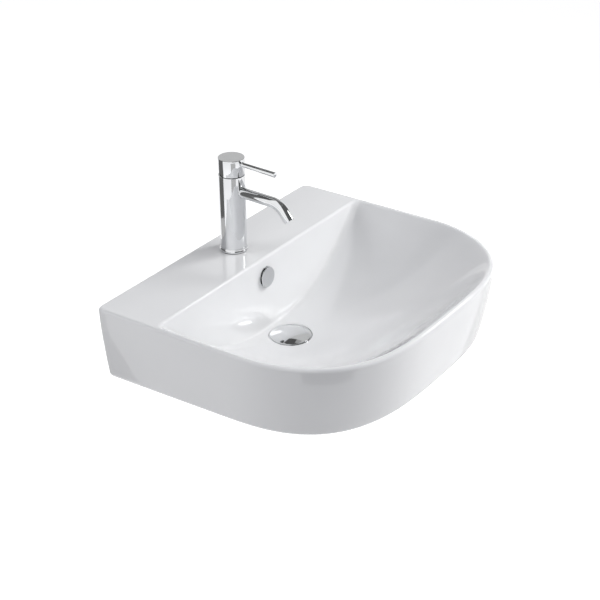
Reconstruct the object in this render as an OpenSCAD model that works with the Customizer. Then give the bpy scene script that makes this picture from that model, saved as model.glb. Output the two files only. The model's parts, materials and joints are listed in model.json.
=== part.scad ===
// Wall-hung basin with a single-lever tap, an overflow cover and a push-type waste.
// The origin is midway between the two wall holes, on the back face. +Y points into the
// wall, +X to the right seen from the front, +Z up. The rim is at z = fix_drop.

/* [Basin] */
// Width of the rim, side to side
body_w = 550; // [540:1:560]
// Depth from the wall to the front of the rim
body_d = 450; // [440:1:460]
// Height of the skirt at the wall
skirt_back_h = 126; // [120:1:132]
// Height of the skirt at the front
skirt_front_h = 118; // [112:1:124]
// How far each side of the skirt leans in towards its lower edge
side_lean = 14; // [10:1:18]
// How far the front of the skirt leans in towards its lower edge
front_lean = 15; // [10:1:20]
// Thickness of the skirt
skirt_t = 11; // [10:0.5:12]
// Depth of the flat tap ledge, from the wall to the bowl
ledge_d = 112.7; // [110:0.1:115]
// Depth of the bowl below the rim
bowl_depth = 126.5; // [124:0.5:129]
// Thickness of the bowl's wall
bowl_t = 9; // [8:0.5:10]

/* [Wall fixing] */
// Distance between the two wall holes
fix_span = 280; // [260:5:300]
// How far the wall holes lie below the rim
fix_drop = 60; // [56:1:64]
// Bore radius of the nylon bushes
bush_bore_r = 5.25; // [5.2:0.05:5.5]

/* [Tap] */
// Distance from the wall to the tap's axis
tap_y = 52.5; // [50:0.5:55]
// Radius of the tap body and of the handle head
tap_r = 21.3; // [21:0.1:22]
// Height of the underside of the handle head above the ledge
head_z = 131.6; // [130:0.1:134]
// Height of the top of the handle head above the ledge
tap_top_z = 159.1; // [158:0.1:162]
// Height of the spout where it leaves the body
spout_z = 103.6; // [102:0.1:105]
// Outer radius of the spout
spout_r = 8.8; // [8.6:0.1:9.2]
// Length of the spout from the tap's axis to its bend
spout_run = 77.2; // [70:0.1:84]
// Angle of the spout's mouth below level
mouth_angle = 52; // [45:1:60]
// Distance from the tap's axis to the end of the lever
lever_reach = 84.5; // [70:0.5:95]

/* [Waste] */
// Distance from the wall to the waste's axis
waste_y = 161.8; // [160:0.1:163]
// Radius of the chrome flange round the plug
flange_r = 34.8; // [34.4:0.1:35.2]
// Outer radius of the threaded tail, a 1 1/4 inch pipe thread
tail_r = 20.95; // [20.9:0.01:21]
// How far the plug rises when it opens
plug_travel = 8; // [6:0.5:9]

/* [Hidden] */
$fn = 64;

glaze = [0.95, 0.96, 0.96];
chrome = [0.78, 0.80, 0.83];
brass = [0.80, 0.66, 0.36];
steel = [0.62, 0.64, 0.66];
rubber = [0.12, 0.12, 0.13];
nylon = [0.88, 0.88, 0.84];

rim_z = fix_drop;
// Overlap of a cutting solid past the face that it cuts.
past = 1;
// Gap between two pieces of the same assembly that slide into each other.
slip = 0.05;

// Each contour of the basin has this many steps along its rear, round a rear corner,
// along a side and round the front.
rear_n = 10;
corner_n = 4;
side_n = 5;
front_n = 44;

// Plan of the rim and of the foot: where the front curve starts, and its squareness.
rim_curve_y = 270;
rim_square = [3.75, 1.75];
foot_curve_y = 214;
foot_square = [3.0, 3.0];
plan_corner_r = 12;
inner_corner_r = 4;
top_round = 5;
foot_round = 7;
foot_edge = 1.5;
back_t = 12;
ledge_t = 12;

// The bowl starts inside the rim, and its contours close in on the waste.
bowl_inset = 6;
bowl_steps = 15;
bowl_floor_r = 33;
bowl_power = 2.3;
bowl_soft = 0.012;
bowl_corner_r = 12;
ledge_round = 4;
rear_lean = 8;
under_start = 6;

waste_hole_r = 23;
waste_recess_r = flange_r + 0.6;
waste_recess = 5;
boss_r = 42;
boss_z = -160;
duct_w = 44;
duct_wall = 8;
channel_w = 28;
channel_h = 8;
overflow_z = -33;
overflow_hole_r = 11.5;
tap_hole_r = 17.5;
wall_hole_r = 11;
wall_pad_r = 21;
wall_pad_t = 5;

function lerp(a, b, t) = a + (b - a) * t;
function signed_pow(v, p) = sign(v) * pow(abs(v), p);

// One closed contour, clockwise from above: half width, distances of its rear and front
// from the wall, start of the front curve, squareness, corner radius, height at the wall
// and at the front.
function contour(half_w, rear, front, curve_y, square, corner, z_rear, z_front) =
  let (points = concat(
    [for (i = [0:rear_n]) [lerp(corner - half_w, half_w - corner, i / rear_n), -rear]],
    [for (i = [1:corner_n]) let (a = 90 * (1 - i / corner_n))
      [half_w - corner + corner * cos(a), corner * sin(a) - corner - rear]],
    [for (i = [1:side_n]) [half_w, lerp(-rear - corner, -curve_y, i / side_n)]],
    [for (i = [1:front_n]) let (a = 180 * i / front_n)
      [half_w * signed_pow(cos(a), 2 / square.x),
        -curve_y - (front - curve_y) * signed_pow(sin(a), 2 / square.y)]],
    [for (i = [1:side_n]) [-half_w, lerp(-curve_y, -rear - corner, i / side_n)]],
    [for (i = [1:corner_n - 1]) let (a = 180 - 90 * i / corner_n)
      [corner - half_w + corner * cos(a), corner * sin(a) - corner - rear]]))
  [for (p = points) [p.x, p.y, lerp(z_rear, z_front, -p.y / body_d)]];
contour_n = rear_n + 2 * corner_n + 2 * side_n + front_n;

// Contour of the skirt at a share h of its height, drawn in by inset and lifted by lift.
function lean_at(h) = pow(1 - h, 1.5);
function skirt(h, inset, rear, corner, lift) =
  contour(body_w / 2 - side_lean * lean_at(h) - inset, rear,
    body_d - front_lean * lean_at(h) - inset, lerp(foot_curve_y, rim_curve_y, h),
    lerp(foot_square, rim_square, h), corner,
    lift - skirt_back_h * (1 - h), lift - skirt_front_h * (1 - h));

// Contours of the bowl, from its edge at t = 0 to its floor at t = 1. Its depth follows
// one smooth curve, and its rear is a wall that leans forward a little.
bowl_half_w = body_w / 2 - bowl_inset;
bowl_reach = bowl_half_w - bowl_floor_r;
function bowl_share(i) = pow(i / bowl_steps, 2);
function bowl_z(t) =
  let (u = t * bowl_reach / bowl_half_w)
  -bowl_depth * (1 - pow(1 - u, bowl_power)) * (1 + bowl_soft) * u / (u + bowl_soft);
function bowl_slope(t) = (bowl_z(t) - bowl_z(t - 0.01)) / (0.01 * bowl_reach);
function wall_y(z) = ledge_d + rear_lean * -z / bowl_depth;
function bowl_rear(t) =
  let (z = bowl_z(t), lip = 1 - min(-z / ledge_round, 1))
  wall_y(z) - ledge_round * (1 - sqrt(1 - lip * lip))
    + (waste_y - bowl_floor_r - wall_y(-bowl_depth)) * pow(t, 16);
function bowl(t, grow, drop, back) =
  contour(bowl_half_w - bowl_reach * t + grow, bowl_rear(t) - back,
    lerp(body_d - bowl_inset, waste_y + bowl_floor_r, t) + grow,
    lerp(rim_curve_y, waste_y, t), lerp(rim_square, [2, 2], t),
    lerp(bowl_corner_r, 0.9 * bowl_floor_r, pow(t, 6)), bowl_z(t) - drop, bowl_z(t) - drop);
function under_bowl(t) =
  let (s = bowl_slope(t), k = bowl_t / norm([1, s])) bowl(t, -s * k, k, bowl_t);

// The skin's contours in order: up the bowl, over the rim, down the skirt, round the
// foot, up inside, across under the ledge and down the bowl's underside.
skin = concat(
  [for (i = [bowl_steps:-1:0]) bowl(bowl_share(i), 0, 0, 0)],
  [for (a = [90:-30:0]) let (inset = top_round * (1 - cos(a)))
    skirt(1, inset, inset, plan_corner_r, -top_round * (1 - sin(a)))],
  [for (h = [0.8, 0.6, 0.4, 0.22]) skirt(h, 0, 0, plan_corner_r, 0)],
  [for (a = [0:30:90]) let (inset = foot_round * (1 - cos(a)))
    skirt(foot_round * (1 - sin(a)) / skirt_back_h, inset, inset / 4, plan_corner_r, 0)],
  [skirt(0, skirt_t - foot_edge, back_t - foot_edge, inner_corner_r, 0),
    skirt(0, skirt_t, back_t, inner_corner_r, foot_edge)],
  [for (h = [0.25, 0.5, 0.75]) skirt(h, skirt_t, back_t, inner_corner_r, 0)],
  [contour(body_w / 2 - skirt_t, back_t, body_d - skirt_t, rim_curve_y, rim_square,
      inner_corner_r, -ledge_t, -ledge_t),
    contour(body_w / 2 - skirt_t - 2, ledge_d - bowl_t, body_d - skirt_t - 2,
      rim_curve_y, rim_square, bowl_corner_r, -ledge_t, -ledge_t)],
  [for (i = [under_start:2:bowl_steps + 1]) under_bowl(bowl_share(min(i, bowl_steps)))]);

// Closed skin over a list of contours, with a fan over the first and the last.
module skinned(rings) {
  n = contour_n;
  last = len(rings) - 1;
  middle = function (ring) [0, -waste_y, ring[0].z];
  polyhedron(
    concat([for (ring = rings) each ring], [middle(rings[0]), middle(rings[last])]),
    concat(
      [for (k = [0:last - 1], j = [0:n - 1]) let (a = k * n + j, b = k * n + (j + 1) % n)
        each [[a, a + n, b + n], [a, b + n, b]]],
      [for (j = [0:n - 1]) [(last + 1) * n, j, (j + 1) % n]],
      [for (j = [0:n - 1]) [(last + 1) * n + 1, last * n + (j + 1) % n, last * n + j]]));
}

// Placing: wall holes, tap, overflow (local +Z out of the bowl's rear wall) and waste
// (local zero at the bowl's floor).
module at_wall_holes() {
  for (side = [-1, 1])
    translate([side * fix_span / 2, 0, 0])
      rotate([90, 0, 0])
        children();
}
module at_tap() {
  translate([0, -tap_y, rim_z])
    children();
}
module at_overflow() {
  translate([0, -wall_y(overflow_z), rim_z + overflow_z])
    rotate([90 - atan(rear_lean / bowl_depth), 0, 0])
      children();
}
module at_waste() {
  translate([0, -waste_y, rim_z - bowl_depth])
    children();
}

module rod(r, low, high) {
  translate([0, 0, low])
    cylinder(r = r, h = high - low);
}
module tube(r_out, r_in, low, high) {
  difference() {
    rod(r_out, low, high);
    rod(r_in, low - past, high + past);
  }
}
// A box given by its two corners.
module block(low, high) {
  translate(low)
    cube(high - low);
}
// A turned ring: its section is a list of [radius, height].
module turned(section) {
  rotate_extrude()
    polygon(section);
}

module basin_body() {
  duct_back = wall_y(0) - bowl_t - duct_wall;
  channel_back = duct_back + duct_wall / 2;
  color(glaze)
    difference() {
      union() {
        translate([0, 0, rim_z])
          skinned(skin);
        // Boss round the waste, and the overflow's duct behind and under the bowl.
        at_waste()
          rod(boss_r, boss_z + bowl_depth, -bowl_t / 2);
        block([-duct_w / 2, -wall_y(0), rim_z + boss_z],
          [duct_w / 2, -duct_back, rim_z - ledge_t / 2]);
        block([-duct_w / 2, -waste_y, rim_z + boss_z],
          [duct_w / 2, -duct_back, rim_z - bowl_depth - bowl_t / 2]);
        at_wall_holes()
          rod(wall_pad_r, back_t / 2, back_t + wall_pad_t);
      }
      at_waste() {
        rod(waste_hole_r, boss_z + bowl_depth - past, past);
        rod(waste_recess_r, -waste_recess, past * 4);
      }
      at_overflow()
        rod(overflow_hole_r, -bowl_t - duct_wall / 2, past * 4);
      block([-channel_w / 2, -channel_back - channel_h, rim_z + boss_z + 4],
        [channel_w / 2, -channel_back, rim_z + overflow_z]);
      block([-channel_w / 2, -waste_y, rim_z + boss_z + 4],
        [channel_w / 2, -channel_back, rim_z + boss_z + 4 + channel_h]);
      at_tap()
        rod(tap_hole_r, -ledge_t - past, past);
      at_wall_holes()
        rod(wall_hole_r, -past, back_t + wall_pad_t + past);
    }
}

// Wall fixing, from the wall inwards along local +Z: a flanged nylon bush, a steel
// washer and a hexagon nut on each wall stud.
pad_face = back_t + wall_pad_t;
bush_flange_r = 16;
bush_flange_t = 3;
fix_washer_r = 14;
fix_washer_t = 2;
fix_nut_t = 8;
m10_r = 5;
m10_across_flats = 17;
module hex_nut(across_flats, bore_r, low, high) {
  difference() {
    translate([0, 0, low])
      cylinder(r = across_flats / 2 / cos(30), h = high - low, $fn = 6);
    rod(bore_r, low - past, high + past);
  }
}
module fixing_bushes() {
  color(nylon)
    at_wall_holes()
      difference() {
        union() {
          rod(wall_hole_r - slip, 0, pad_face);
          rod(bush_flange_r, pad_face, pad_face + bush_flange_t);
        }
        rod(bush_bore_r, -past, pad_face + bush_flange_t + past);
      }
}
module fixing_washers() {
  low = pad_face + bush_flange_t;
  color(steel)
    at_wall_holes()
      tube(fix_washer_r, m10_r + 0.5, low, low + fix_washer_t);
}
module fixing_nuts() {
  low = pad_face + bush_flange_t + fix_washer_t;
  color(steel)
    at_wall_holes()
      hex_nut(m10_across_flats, m10_r, low, low + fix_nut_t);
}

// Overflow cover: a chrome ring in the hole, with a crossbar that holds a disc off it.
cover_r = 17.4;
cover_t = 1.6;
disc_r = 16.6;
disc_t = 1.6;
disc_gap = 2.4;
cover_bore_r = 9.4;
cover_neck = 8;
stem_r = 2.5;
module overflow_ring() {
  color(chrome)
    at_overflow() {
      turned([[cover_bore_r, -cover_neck], [overflow_hole_r - slip, -cover_neck],
        [overflow_hole_r - slip, 0], [cover_r, 0], [cover_r, cover_t - 1],
        [cover_r - 0.3, cover_t - 0.3], [cover_r - 1, cover_t],
        [cover_bore_r + 0.8, cover_t], [cover_bore_r, cover_t - 0.8]]);
      difference() {
        block([-cover_bore_r - 0.4, -2, -cover_neck], [cover_bore_r + 0.4, 2, -cover_neck + 3]);
        rod(stem_r + slip, -cover_neck - past, cover_t);
      }
    }
}
module overflow_disc() {
  low = cover_t + disc_gap;
  color(chrome)
    at_overflow()
      difference() {
        turned([[0, low], [disc_r - 0.5, low], [disc_r, low + 0.5],
          [disc_r, low + disc_t - 0.6], [disc_r - 0.6, low + disc_t], [0, low + disc_t]]);
        rod(1.5, low - past, low + 1);
      }
}
module overflow_stem() {
  color(steel)
    at_overflow() {
      rod(stem_r, -cover_neck, cover_t + disc_gap);
      rod(1.5 - slip / 2, cover_t + disc_gap, cover_t + disc_gap + 1);
    }
}

// Waste: flanged chrome body through the basin's floor, clamped by a backnut below.
// Local heights are measured from the bowl's floor.
boss_low = boss_z + bowl_depth;
flange_low = 1.5 - waste_recess;
flange_high = 0.6;
lip_r = flange_r - 3.8;
neck_r = 22.4;
drain_r = 18.5;
neck_low = boss_low + 4;
nut_low = boss_low - 17;
tail_groove = 2;
tail_low = nut_low - tail_groove - 22;
hub_r = 11;
hub_bore_r = 8;
hub_high = -12;
hub_low = -24;
spoke_w = 3;
waste_seal_r = 33;
lower_seal_t = 5;
slip_washer_r = 32;
slip_washer_t = 2;
nut_rim_r = 29.5;
nut_corner_r = 28.5;
nut_rim_t = 3;
module waste_body() {
  color(chrome)
    at_waste()
      difference() {
        union() {
          turned([[drain_r, tail_low], [tail_r - 0.8, tail_low], [tail_r, tail_low + 0.8],
            [tail_r, nut_low - tail_groove], [tail_r - 0.7, nut_low - tail_groove],
            [tail_r - 0.7, nut_low], [tail_r, nut_low], [tail_r, neck_low],
            [neck_r, neck_low], [neck_r, flange_low], [flange_r, flange_low],
            [flange_r, flange_high - 0.5], [flange_r - 0.5, flange_high],
            [lip_r, flange_high], [lip_r - 1.2, -0.6], [21, -2.2], [drain_r, -4.5]]);
          rod(hub_r, hub_low, hub_high);
          for (a = [30, 150, 270])
            rotate([0, 0, a])
              block([hub_r - 1, -spoke_w / 2, hub_low + 3], [drain_r + 1, spoke_w / 2, hub_high]);
        }
        rod(hub_bore_r, hub_low - past, hub_high + past);
        // Windows that take the water from the overflow's duct.
        for (a = [90, 210, 330])
          rotate([0, 0, a])
            block([drain_r - 1.5, -8, boss_low + 5], [neck_r + past, 8, boss_low + 12]);
      }
}
module waste_upper_seal() {
  color(rubber)
    at_waste()
      tube(waste_seal_r, waste_hole_r + 0.5, -waste_recess, flange_low);
}
module waste_lower_seal() {
  low = boss_low - lower_seal_t;
  color(rubber)
    at_waste()
      turned([[tail_r + 0.1, low], [waste_seal_r, low], [waste_seal_r, boss_low - 2],
        [waste_seal_r - 3, boss_low], [tail_r + 0.1, boss_low]]);
}
module waste_slip_washer() {
  high = boss_low - lower_seal_t;
  color(nylon)
    at_waste()
      tube(slip_washer_r, tail_r + 0.1, high - slip_washer_t, high);
}
module waste_backnut() {
  high = boss_low - lower_seal_t - slip_washer_t;
  color(brass)
    at_waste()
      difference() {
        union() {
          rod(nut_rim_r, high - nut_rim_t, high);
          translate([0, 0, nut_low])
            cylinder(r = nut_corner_r, h = high - nut_rim_t - nut_low + 0.01, $fn = 8);
        }
        rod(tail_r + slip, nut_low - past, boss_low);
      }
}

// Push-type plug: a domed cap on a stem, latched and sprung in a sleeve in the hub.
cap_r = flange_r - 1.6;
cap_low = flange_high + 0.3;
cap_top = 7.2;
cap_hub_r = 6.5;
cap_hub_low = -4;
plug_seal_r = cap_r - 4;
stem4_r = 4;
stem_low = -40;
sleeve_r_in = 6.7;
sleeve_low = -38;
sleeve_high = -9;
sleeve_cap_t = 1.5;
// The latch has room for the plug's whole travel under the sleeve's cap.
latch_high = sleeve_high - sleeve_cap_t - plug_travel - 0.5;
latch_low = latch_high - 3;
spring_r = 5.35;
spring_wire_r = 0.55;
spring_turns = 6;
sleeve_floor_t = 2;
spring_low = sleeve_low + sleeve_floor_t + spring_wire_r;
spring_high = latch_low - spring_wire_r;
// The dome's top is an arc through its edge and its centre.
dome_edge_z = cap_low + 1.3;
dome_rise = cap_top - dome_edge_z;
dome_r = (pow(cap_r - 0.6, 2) + dome_rise * dome_rise) / (2 * dome_rise);
module plug_cap() {
  color(chrome)
    at_waste()
      difference() {
        turned(concat([[0, cap_hub_low], [cap_hub_r, cap_hub_low], [cap_hub_r, cap_low],
          [cap_r, cap_low], [cap_r, cap_low + 0.8]],
          [for (i = [6:-1:0]) let (r = (cap_r - 0.6) * i / 6)
            [r, cap_top - dome_r + sqrt(dome_r * dome_r - r * r)]]));
        rod(stem4_r + slip, cap_hub_low - past, cap_low);
      }
}
module plug_seal() {
  color(rubber)
    at_waste()
      turned([[cap_hub_r + 0.1, cap_low - 2], [plug_seal_r - 3.7, cap_low - 2],
        [plug_seal_r - 0.8, cap_low - 1.2], [plug_seal_r, cap_low],
        [cap_hub_r + 0.1, cap_low]]);
}
module plug_stem() {
  color(brass)
    at_waste()
      rod(stem4_r, stem_low, cap_low);
}
module click_sleeve() {
  color(brass)
    at_waste()
      difference() {
        rod(hub_bore_r - slip, sleeve_low, sleeve_high);
        rod(sleeve_r_in, sleeve_low + sleeve_floor_t, sleeve_high - sleeve_cap_t);
        rod(stem4_r + slip, sleeve_low - past, sleeve_high + past);
      }
}
module click_latch() {
  color(nylon)
    at_waste()
      tube(sleeve_r_in - slip, stem4_r, latch_low, latch_high);
}
// Points of a wire round a helix: the section has spring_sides points.
spring_sides = 6;
spring_steps = 16;
module click_spring() {
  steps = spring_turns * spring_steps;
  points = [for (i = [0:steps], j = [0:spring_sides - 1])
    let (a = 360 * i / spring_steps, b = 360 * j / spring_sides,
      r = spring_r + spring_wire_r * cos(b))
    [r * cos(a), r * sin(a),
      lerp(spring_low, spring_high, i / steps) + spring_wire_r * sin(b)]];
  m = spring_sides;
  color(steel)
    at_waste()
      polyhedron(points, concat(
        [for (i = [0:steps - 1], j = [0:m - 1])
          let (a = i * m + j, b = i * m + (j + 1) % m)
          each [[a, b, b + m], [a, b + m, a + m]]],
        [[for (j = [m - 1:-1:0]) j]],
        [[for (j = [0:m - 1]) steps * m + j]]));
}

// Tap. Local heights are measured from the ledge, local zero is its axis.
base_seal_t = 1;
ring_r = 23.2;
ring_straight = 3;
ring_top = 8.2;
body_top = head_z - 1.3;
spigot_r = 18.4;
spigot_low = 1.2;
seat_z = 113;
cartridge_r = 12.5;
cartridge_neck_r = 11;
nut_seat_z = 124.5;
nut_r = 16;
inlet_r = 4.5;
inlet_x = 8;
inlet_y = -4;
inlet_depth = 12;
passage_r = 3.2;
passage_bend_z = 58;
valve_x = 7;
valve_y = 4.5;
outlet_y = -6;
stud_y = 12.8;
stud_r = 3;
stud_low = -58;
stud_depth = 14;
spout_bore_r = 6.8;
spout_spigot_r = 7.6;
spout_droop = 1.6;
spout_seat = 14;
module tap_base_seal() {
  color(rubber)
    at_tap()
      tube(ring_r - 0.8, spigot_r + 0.8, 0, base_seal_t);
}
module tap_base_ring() {
  color(chrome)
    at_tap()
      turned(concat([[spigot_r + slip, base_seal_t], [ring_r - 0.4, base_seal_t],
        [ring_r, base_seal_t + 0.4], [ring_r, ring_straight]],
        [for (a = [0:15:90]) [tap_r + (ring_r - tap_r) * (1 - sin(a)),
          ring_straight + (ring_top - ring_straight) * (1 - cos(a))]],
        [[spigot_r + slip, ring_top]]));
}
// Axis of the spout's straight run, pointing forward and down a little.
module at_spout() {
  at_tap()
    translate([0, 0, spout_z])
      rotate([90 + spout_droop, 0, 0])
        children();
}
// The cartridge's three ports: hot, cold and the outlet to the spout.
module at_ports() {
  for (p = [[-valve_x, valve_y], [valve_x, valve_y], [0, outlet_y]])
    translate([p.x, p.y, 0])
      children();
}
module tap_body() {
  color(chrome)
    difference() {
      at_tap()
        difference() {
          union() {
            rod(spigot_r, spigot_low, ring_top);
            rod(tap_r, ring_top, body_top);
          }
          rod(cartridge_r + slip, seat_z, body_top + past);
          rod(nut_r, nut_seat_z, body_top + past);
          // Each supply rises from its inlet, steps back past the spout's bore and
          // goes on up to the cartridge's seat.
          for (side = [-1, 1]) {
            translate([side * inlet_x, inlet_y, 0]) {
              rod(inlet_r, spigot_low - past, spigot_low + inlet_depth);
              rod(passage_r, spigot_low + inlet_depth - past, passage_bend_z);
            }
            translate([side * valve_x, valve_y, 0])
              rod(passage_r, passage_bend_z - 6, seat_z + past);
            block([side * valve_x - 2, inlet_y, passage_bend_z - 6],
              [side * valve_x + 2, valve_y, passage_bend_z]);
          }
          translate([0, outlet_y, 0])
            rod(passage_r, spout_z, seat_z + past);
          translate([0, stud_y, 0])
            rod(stud_r, spigot_low - past, spigot_low + stud_depth);
        }
      at_spout() {
        rod(spout_bore_r - 1, 2, spout_seat + past);
        rod(spout_spigot_r + slip, spout_seat, tap_r + past);
        rod(spout_r + slip, tap_r - 3, tap_r + past);
      }
    }
}

// Spout: a straight tube, a bend and a short straight mouth.
bend_r = 30;
mouth_run = 16.5;
bend_angle = mouth_angle - spout_droop;
module at_bend_end() {
  at_spout()
    translate([0, 0, spout_run])
      translate([0, -bend_r, 0])
        rotate([bend_angle, 0, 0])
          translate([0, bend_r, 0])
            children();
}
// A thin band covers the joint between the bend and the mouth's straight run.
module spout_solid(r, from, past_mouth) {
  at_spout() {
    rod(r, from, spout_run);
    translate([0, -bend_r, spout_run])
      rotate([0, 90, 0])
        rotate([0, 0, 90])
          rotate_extrude(angle = bend_angle)
            translate([bend_r, 0])
              circle(r = r);
  }
  at_bend_end() {
    rod(r, 0, mouth_run + past_mouth);
    rod(r + 0.02, -0.1, 0.1);
  }
}
aerator_seat = 9;
aerator_r = 7.7;
screen_r = 6.2;
oring_r = 6.9;
oring_low = 15.25;
oring_t = 1.3;
module spout() {
  color(chrome)
    difference() {
      union() {
        spout_solid(spout_r, tap_r - 3, 0);
        at_spout()
          rod(spout_spigot_r, spout_seat, tap_r - 2);
      }
      spout_solid(spout_bore_r, spout_seat - past, past);
      at_bend_end()
        rod(aerator_r, mouth_run - aerator_seat, mouth_run + past);
      at_spout()
        tube(spout_spigot_r + past, oring_r, oring_low - slip, oring_low + oring_t + slip);
    }
}
module spout_oring() {
  color(rubber)
    at_spout()
      tube(spout_spigot_r, oring_r, oring_low, oring_low + oring_t);
}
module aerator_housing() {
  color(nylon)
    at_bend_end()
      tube(aerator_r - slip, screen_r, mouth_run - aerator_seat, mouth_run - 0.6);
}
module aerator_screen() {
  color(steel)
    at_bend_end()
      difference() {
        rod(screen_r, mouth_run - 3, mouth_run - 1.6);
        for (x = [-4:2:4], y = [-4:2:4])
          if (norm([x, y]) < 5)
            translate([x, y, mouth_run - 4])
              cylinder(r = 0.7, h = 4, $fn = 6);
      }
}

// Cartridge, its driver and the joint that lets the handle turn and tilt.
neck_top = body_top - 0.8;
driver_r = 9;
driver_low = 119.2;
driver_top = 134.2;
slot_w = 6.4;
slot_half = 6.6;
pin_r = 1.2;
spindle_w = 6;
spindle_low = 123;
spindle_top = 150;
module cartridge_body() {
  color(nylon)
    at_tap()
      difference() {
        union() {
          rod(cartridge_r, seat_z + 1.5, nut_seat_z);
          rod(cartridge_neck_r, nut_seat_z, neck_top);
        }
        rod(driver_r + slip, driver_low - 0.2, neck_top + past);
        at_ports()
          rod(passage_r, seat_z, driver_low - 2);
      }
}
module cartridge_seals() {
  color(rubber)
    at_tap()
      at_ports()
        tube(passage_r + 0.9, passage_r, seat_z, seat_z + 1.5);
}
module cartridge_driver() {
  color(nylon)
    at_tap()
      difference() {
        rod(driver_r, driver_low, driver_top);
        block([-slot_w / 2, -slot_half, driver_low + 2], [slot_w / 2, slot_half, driver_top + past]);
        translate([0, 0, head_z])
          rotate([0, 90, 0])
            rod(pin_r, -driver_r - past, driver_r + past);
      }
}
module pivot_pin() {
  color(steel)
    at_tap()
      translate([0, 0, head_z])
        rotate([0, 90, 0])
          rod(pin_r, -8.6, 8.6);
}
module spindle() {
  color(brass)
    at_tap()
      difference() {
        block([-spindle_w / 2, -spindle_w / 2, spindle_low],
          [spindle_w / 2, spindle_w / 2, spindle_top]);
        translate([0, 0, head_z])
          rotate([0, 90, 0])
            rod(pin_r + slip, -spindle_w, spindle_w);
      }
}
module retaining_nut() {
  color(brass)
    at_tap()
      difference() {
        rod(nut_r - slip, nut_seat_z, neck_top + 0.5);
        rod(cartridge_neck_r + slip, nut_seat_z - past, neck_top + past);
      }
}
module glide_ring() {
  color(rubber)
    at_tap()
      tube(tap_r - 1.8, nut_r + 0.3, body_top, head_z - 0.3);
}

// Handle head: a cap whose lower rear edge is cut at a slant, so that it can tilt back.
tilt_max = 24;
wedge_angle = tilt_max + 2;
cavity_r = 17.2;
cavity_top = 145;
lever_z = 151.9;
lever_droop = 2.3;
lever_root_r = 3.7;
lever_tip_r = 4.4;
lever_seat = 9;
screw_z = 148.6;
screw_r = 2.5;
button_r = 3.2;
button_seat = 2.2;
module at_lever() {
  at_tap()
    translate([0, 0, lever_z])
      rotate([90 + lever_droop, 0, 0])
        children();
}
module handle_head() {
  color(chrome)
    difference() {
      at_tap()
        difference() {
          turned([[0, head_z], [tap_r - 0.3, head_z], [tap_r, head_z + 0.3],
            [tap_r, tap_top_z - 0.7], [tap_r - 0.7, tap_top_z], [0, tap_top_z]]);
          rod(cavity_r, head_z - past, cavity_top);
          translate([0, 0, head_z])
            rotate([wedge_angle, 0, 0])
              block([-tap_r - past, 0, -20], [tap_r + past, 30, 0]);
          block([-spindle_w / 2 - slip, -spindle_w / 2 - slip, cavity_top - past],
            [spindle_w / 2 + slip, spindle_w / 2 + slip, spindle_top]);
          translate([0, 0, screw_z])
            rotate([-90, 0, 0]) {
              rod(screw_r, 0, tap_r + past);
              rod(button_r, tap_r - button_seat, tap_r + past);
            }
        }
      at_lever()
        rod(lever_root_r, lever_seat, tap_r + past);
    }
}
module lever_rod() {
  color(chrome)
    at_lever() {
      rod(lever_root_r, lever_seat, tap_r + 1);
      turned([[0, tap_r + 1], [lever_root_r, tap_r + 1], [lever_tip_r, lever_reach - 2],
        [lever_tip_r - 0.4, lever_reach - 0.8], [lever_tip_r - 1.4, lever_reach],
        [0, lever_reach]]);
    }
}
module grub_screw() {
  color(steel)
    at_tap()
      translate([0, 0, screw_z])
        rotate([-90, 0, 0])
          difference() {
            rod(screw_r, spindle_w / 2 + slip, 13);
            translate([0, 0, 10])
              cylinder(r = 1.45, h = 4, $fn = 6);
          }
}
module grub_cover() {
  color(chrome)
    at_tap()
      translate([0, 0, screw_z])
        rotate([-90, 0, 0])
          rod(button_r - slip, tap_r - button_seat, tap_r - 0.3);
}

// Under the ledge: a stud, a horseshoe gasket and washer open towards the bowl, and a nut.
shoe_r = 25;
shoe_bore_r = 15;
shoe_bore_y = -6;
gasket_t = 3;
shoe_t = 2.5;
module horseshoe(low, high) {
  at_tap()
    difference() {
      rod(shoe_r, low, high);
      translate([0, shoe_bore_y, 0])
        rod(shoe_bore_r, low - past, high + past);
      block([-shoe_bore_r, -shoe_r - past, low - past], [shoe_bore_r, shoe_bore_y, high + past]);
      translate([0, stud_y, 0])
        rod(stud_r + 0.2, low - past, high + past);
    }
}
module fixing_stud() {
  color(steel)
    at_tap()
      translate([0, stud_y, 0])
        rod(stud_r, stud_low, spigot_low + stud_depth);
}
module deck_gasket() {
  color(rubber)
    horseshoe(-ledge_t - gasket_t, -ledge_t);
}
module horseshoe_washer() {
  color(steel)
    horseshoe(-ledge_t - gasket_t - shoe_t, -ledge_t - gasket_t);
}
module deck_nut() {
  high = -ledge_t - gasket_t - shoe_t;
  color(brass)
    at_tap()
      translate([0, stud_y, 0])
        hex_nut(10, stud_r, high - 16, high);
}

basin_body();
fixing_bushes();
fixing_washers();
fixing_nuts();
overflow_ring();
overflow_disc();
overflow_stem();
waste_body();
waste_upper_seal();
waste_lower_seal();
waste_slip_washer();
waste_backnut();
plug_cap();
plug_seal();
plug_stem();
click_sleeve();
click_spring();
click_latch();
tap_base_seal();
tap_base_ring();
tap_body();
spout();
spout_oring();
aerator_housing();
aerator_screen();
cartridge_body();
cartridge_seals();
cartridge_driver();
pivot_pin();
spindle();
retaining_nut();
glide_ring();
handle_head();
lever_rod();
grub_screw();
grub_cover();
fixing_stud();
deck_gasket();
horseshoe_washer();
deck_nut();
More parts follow.
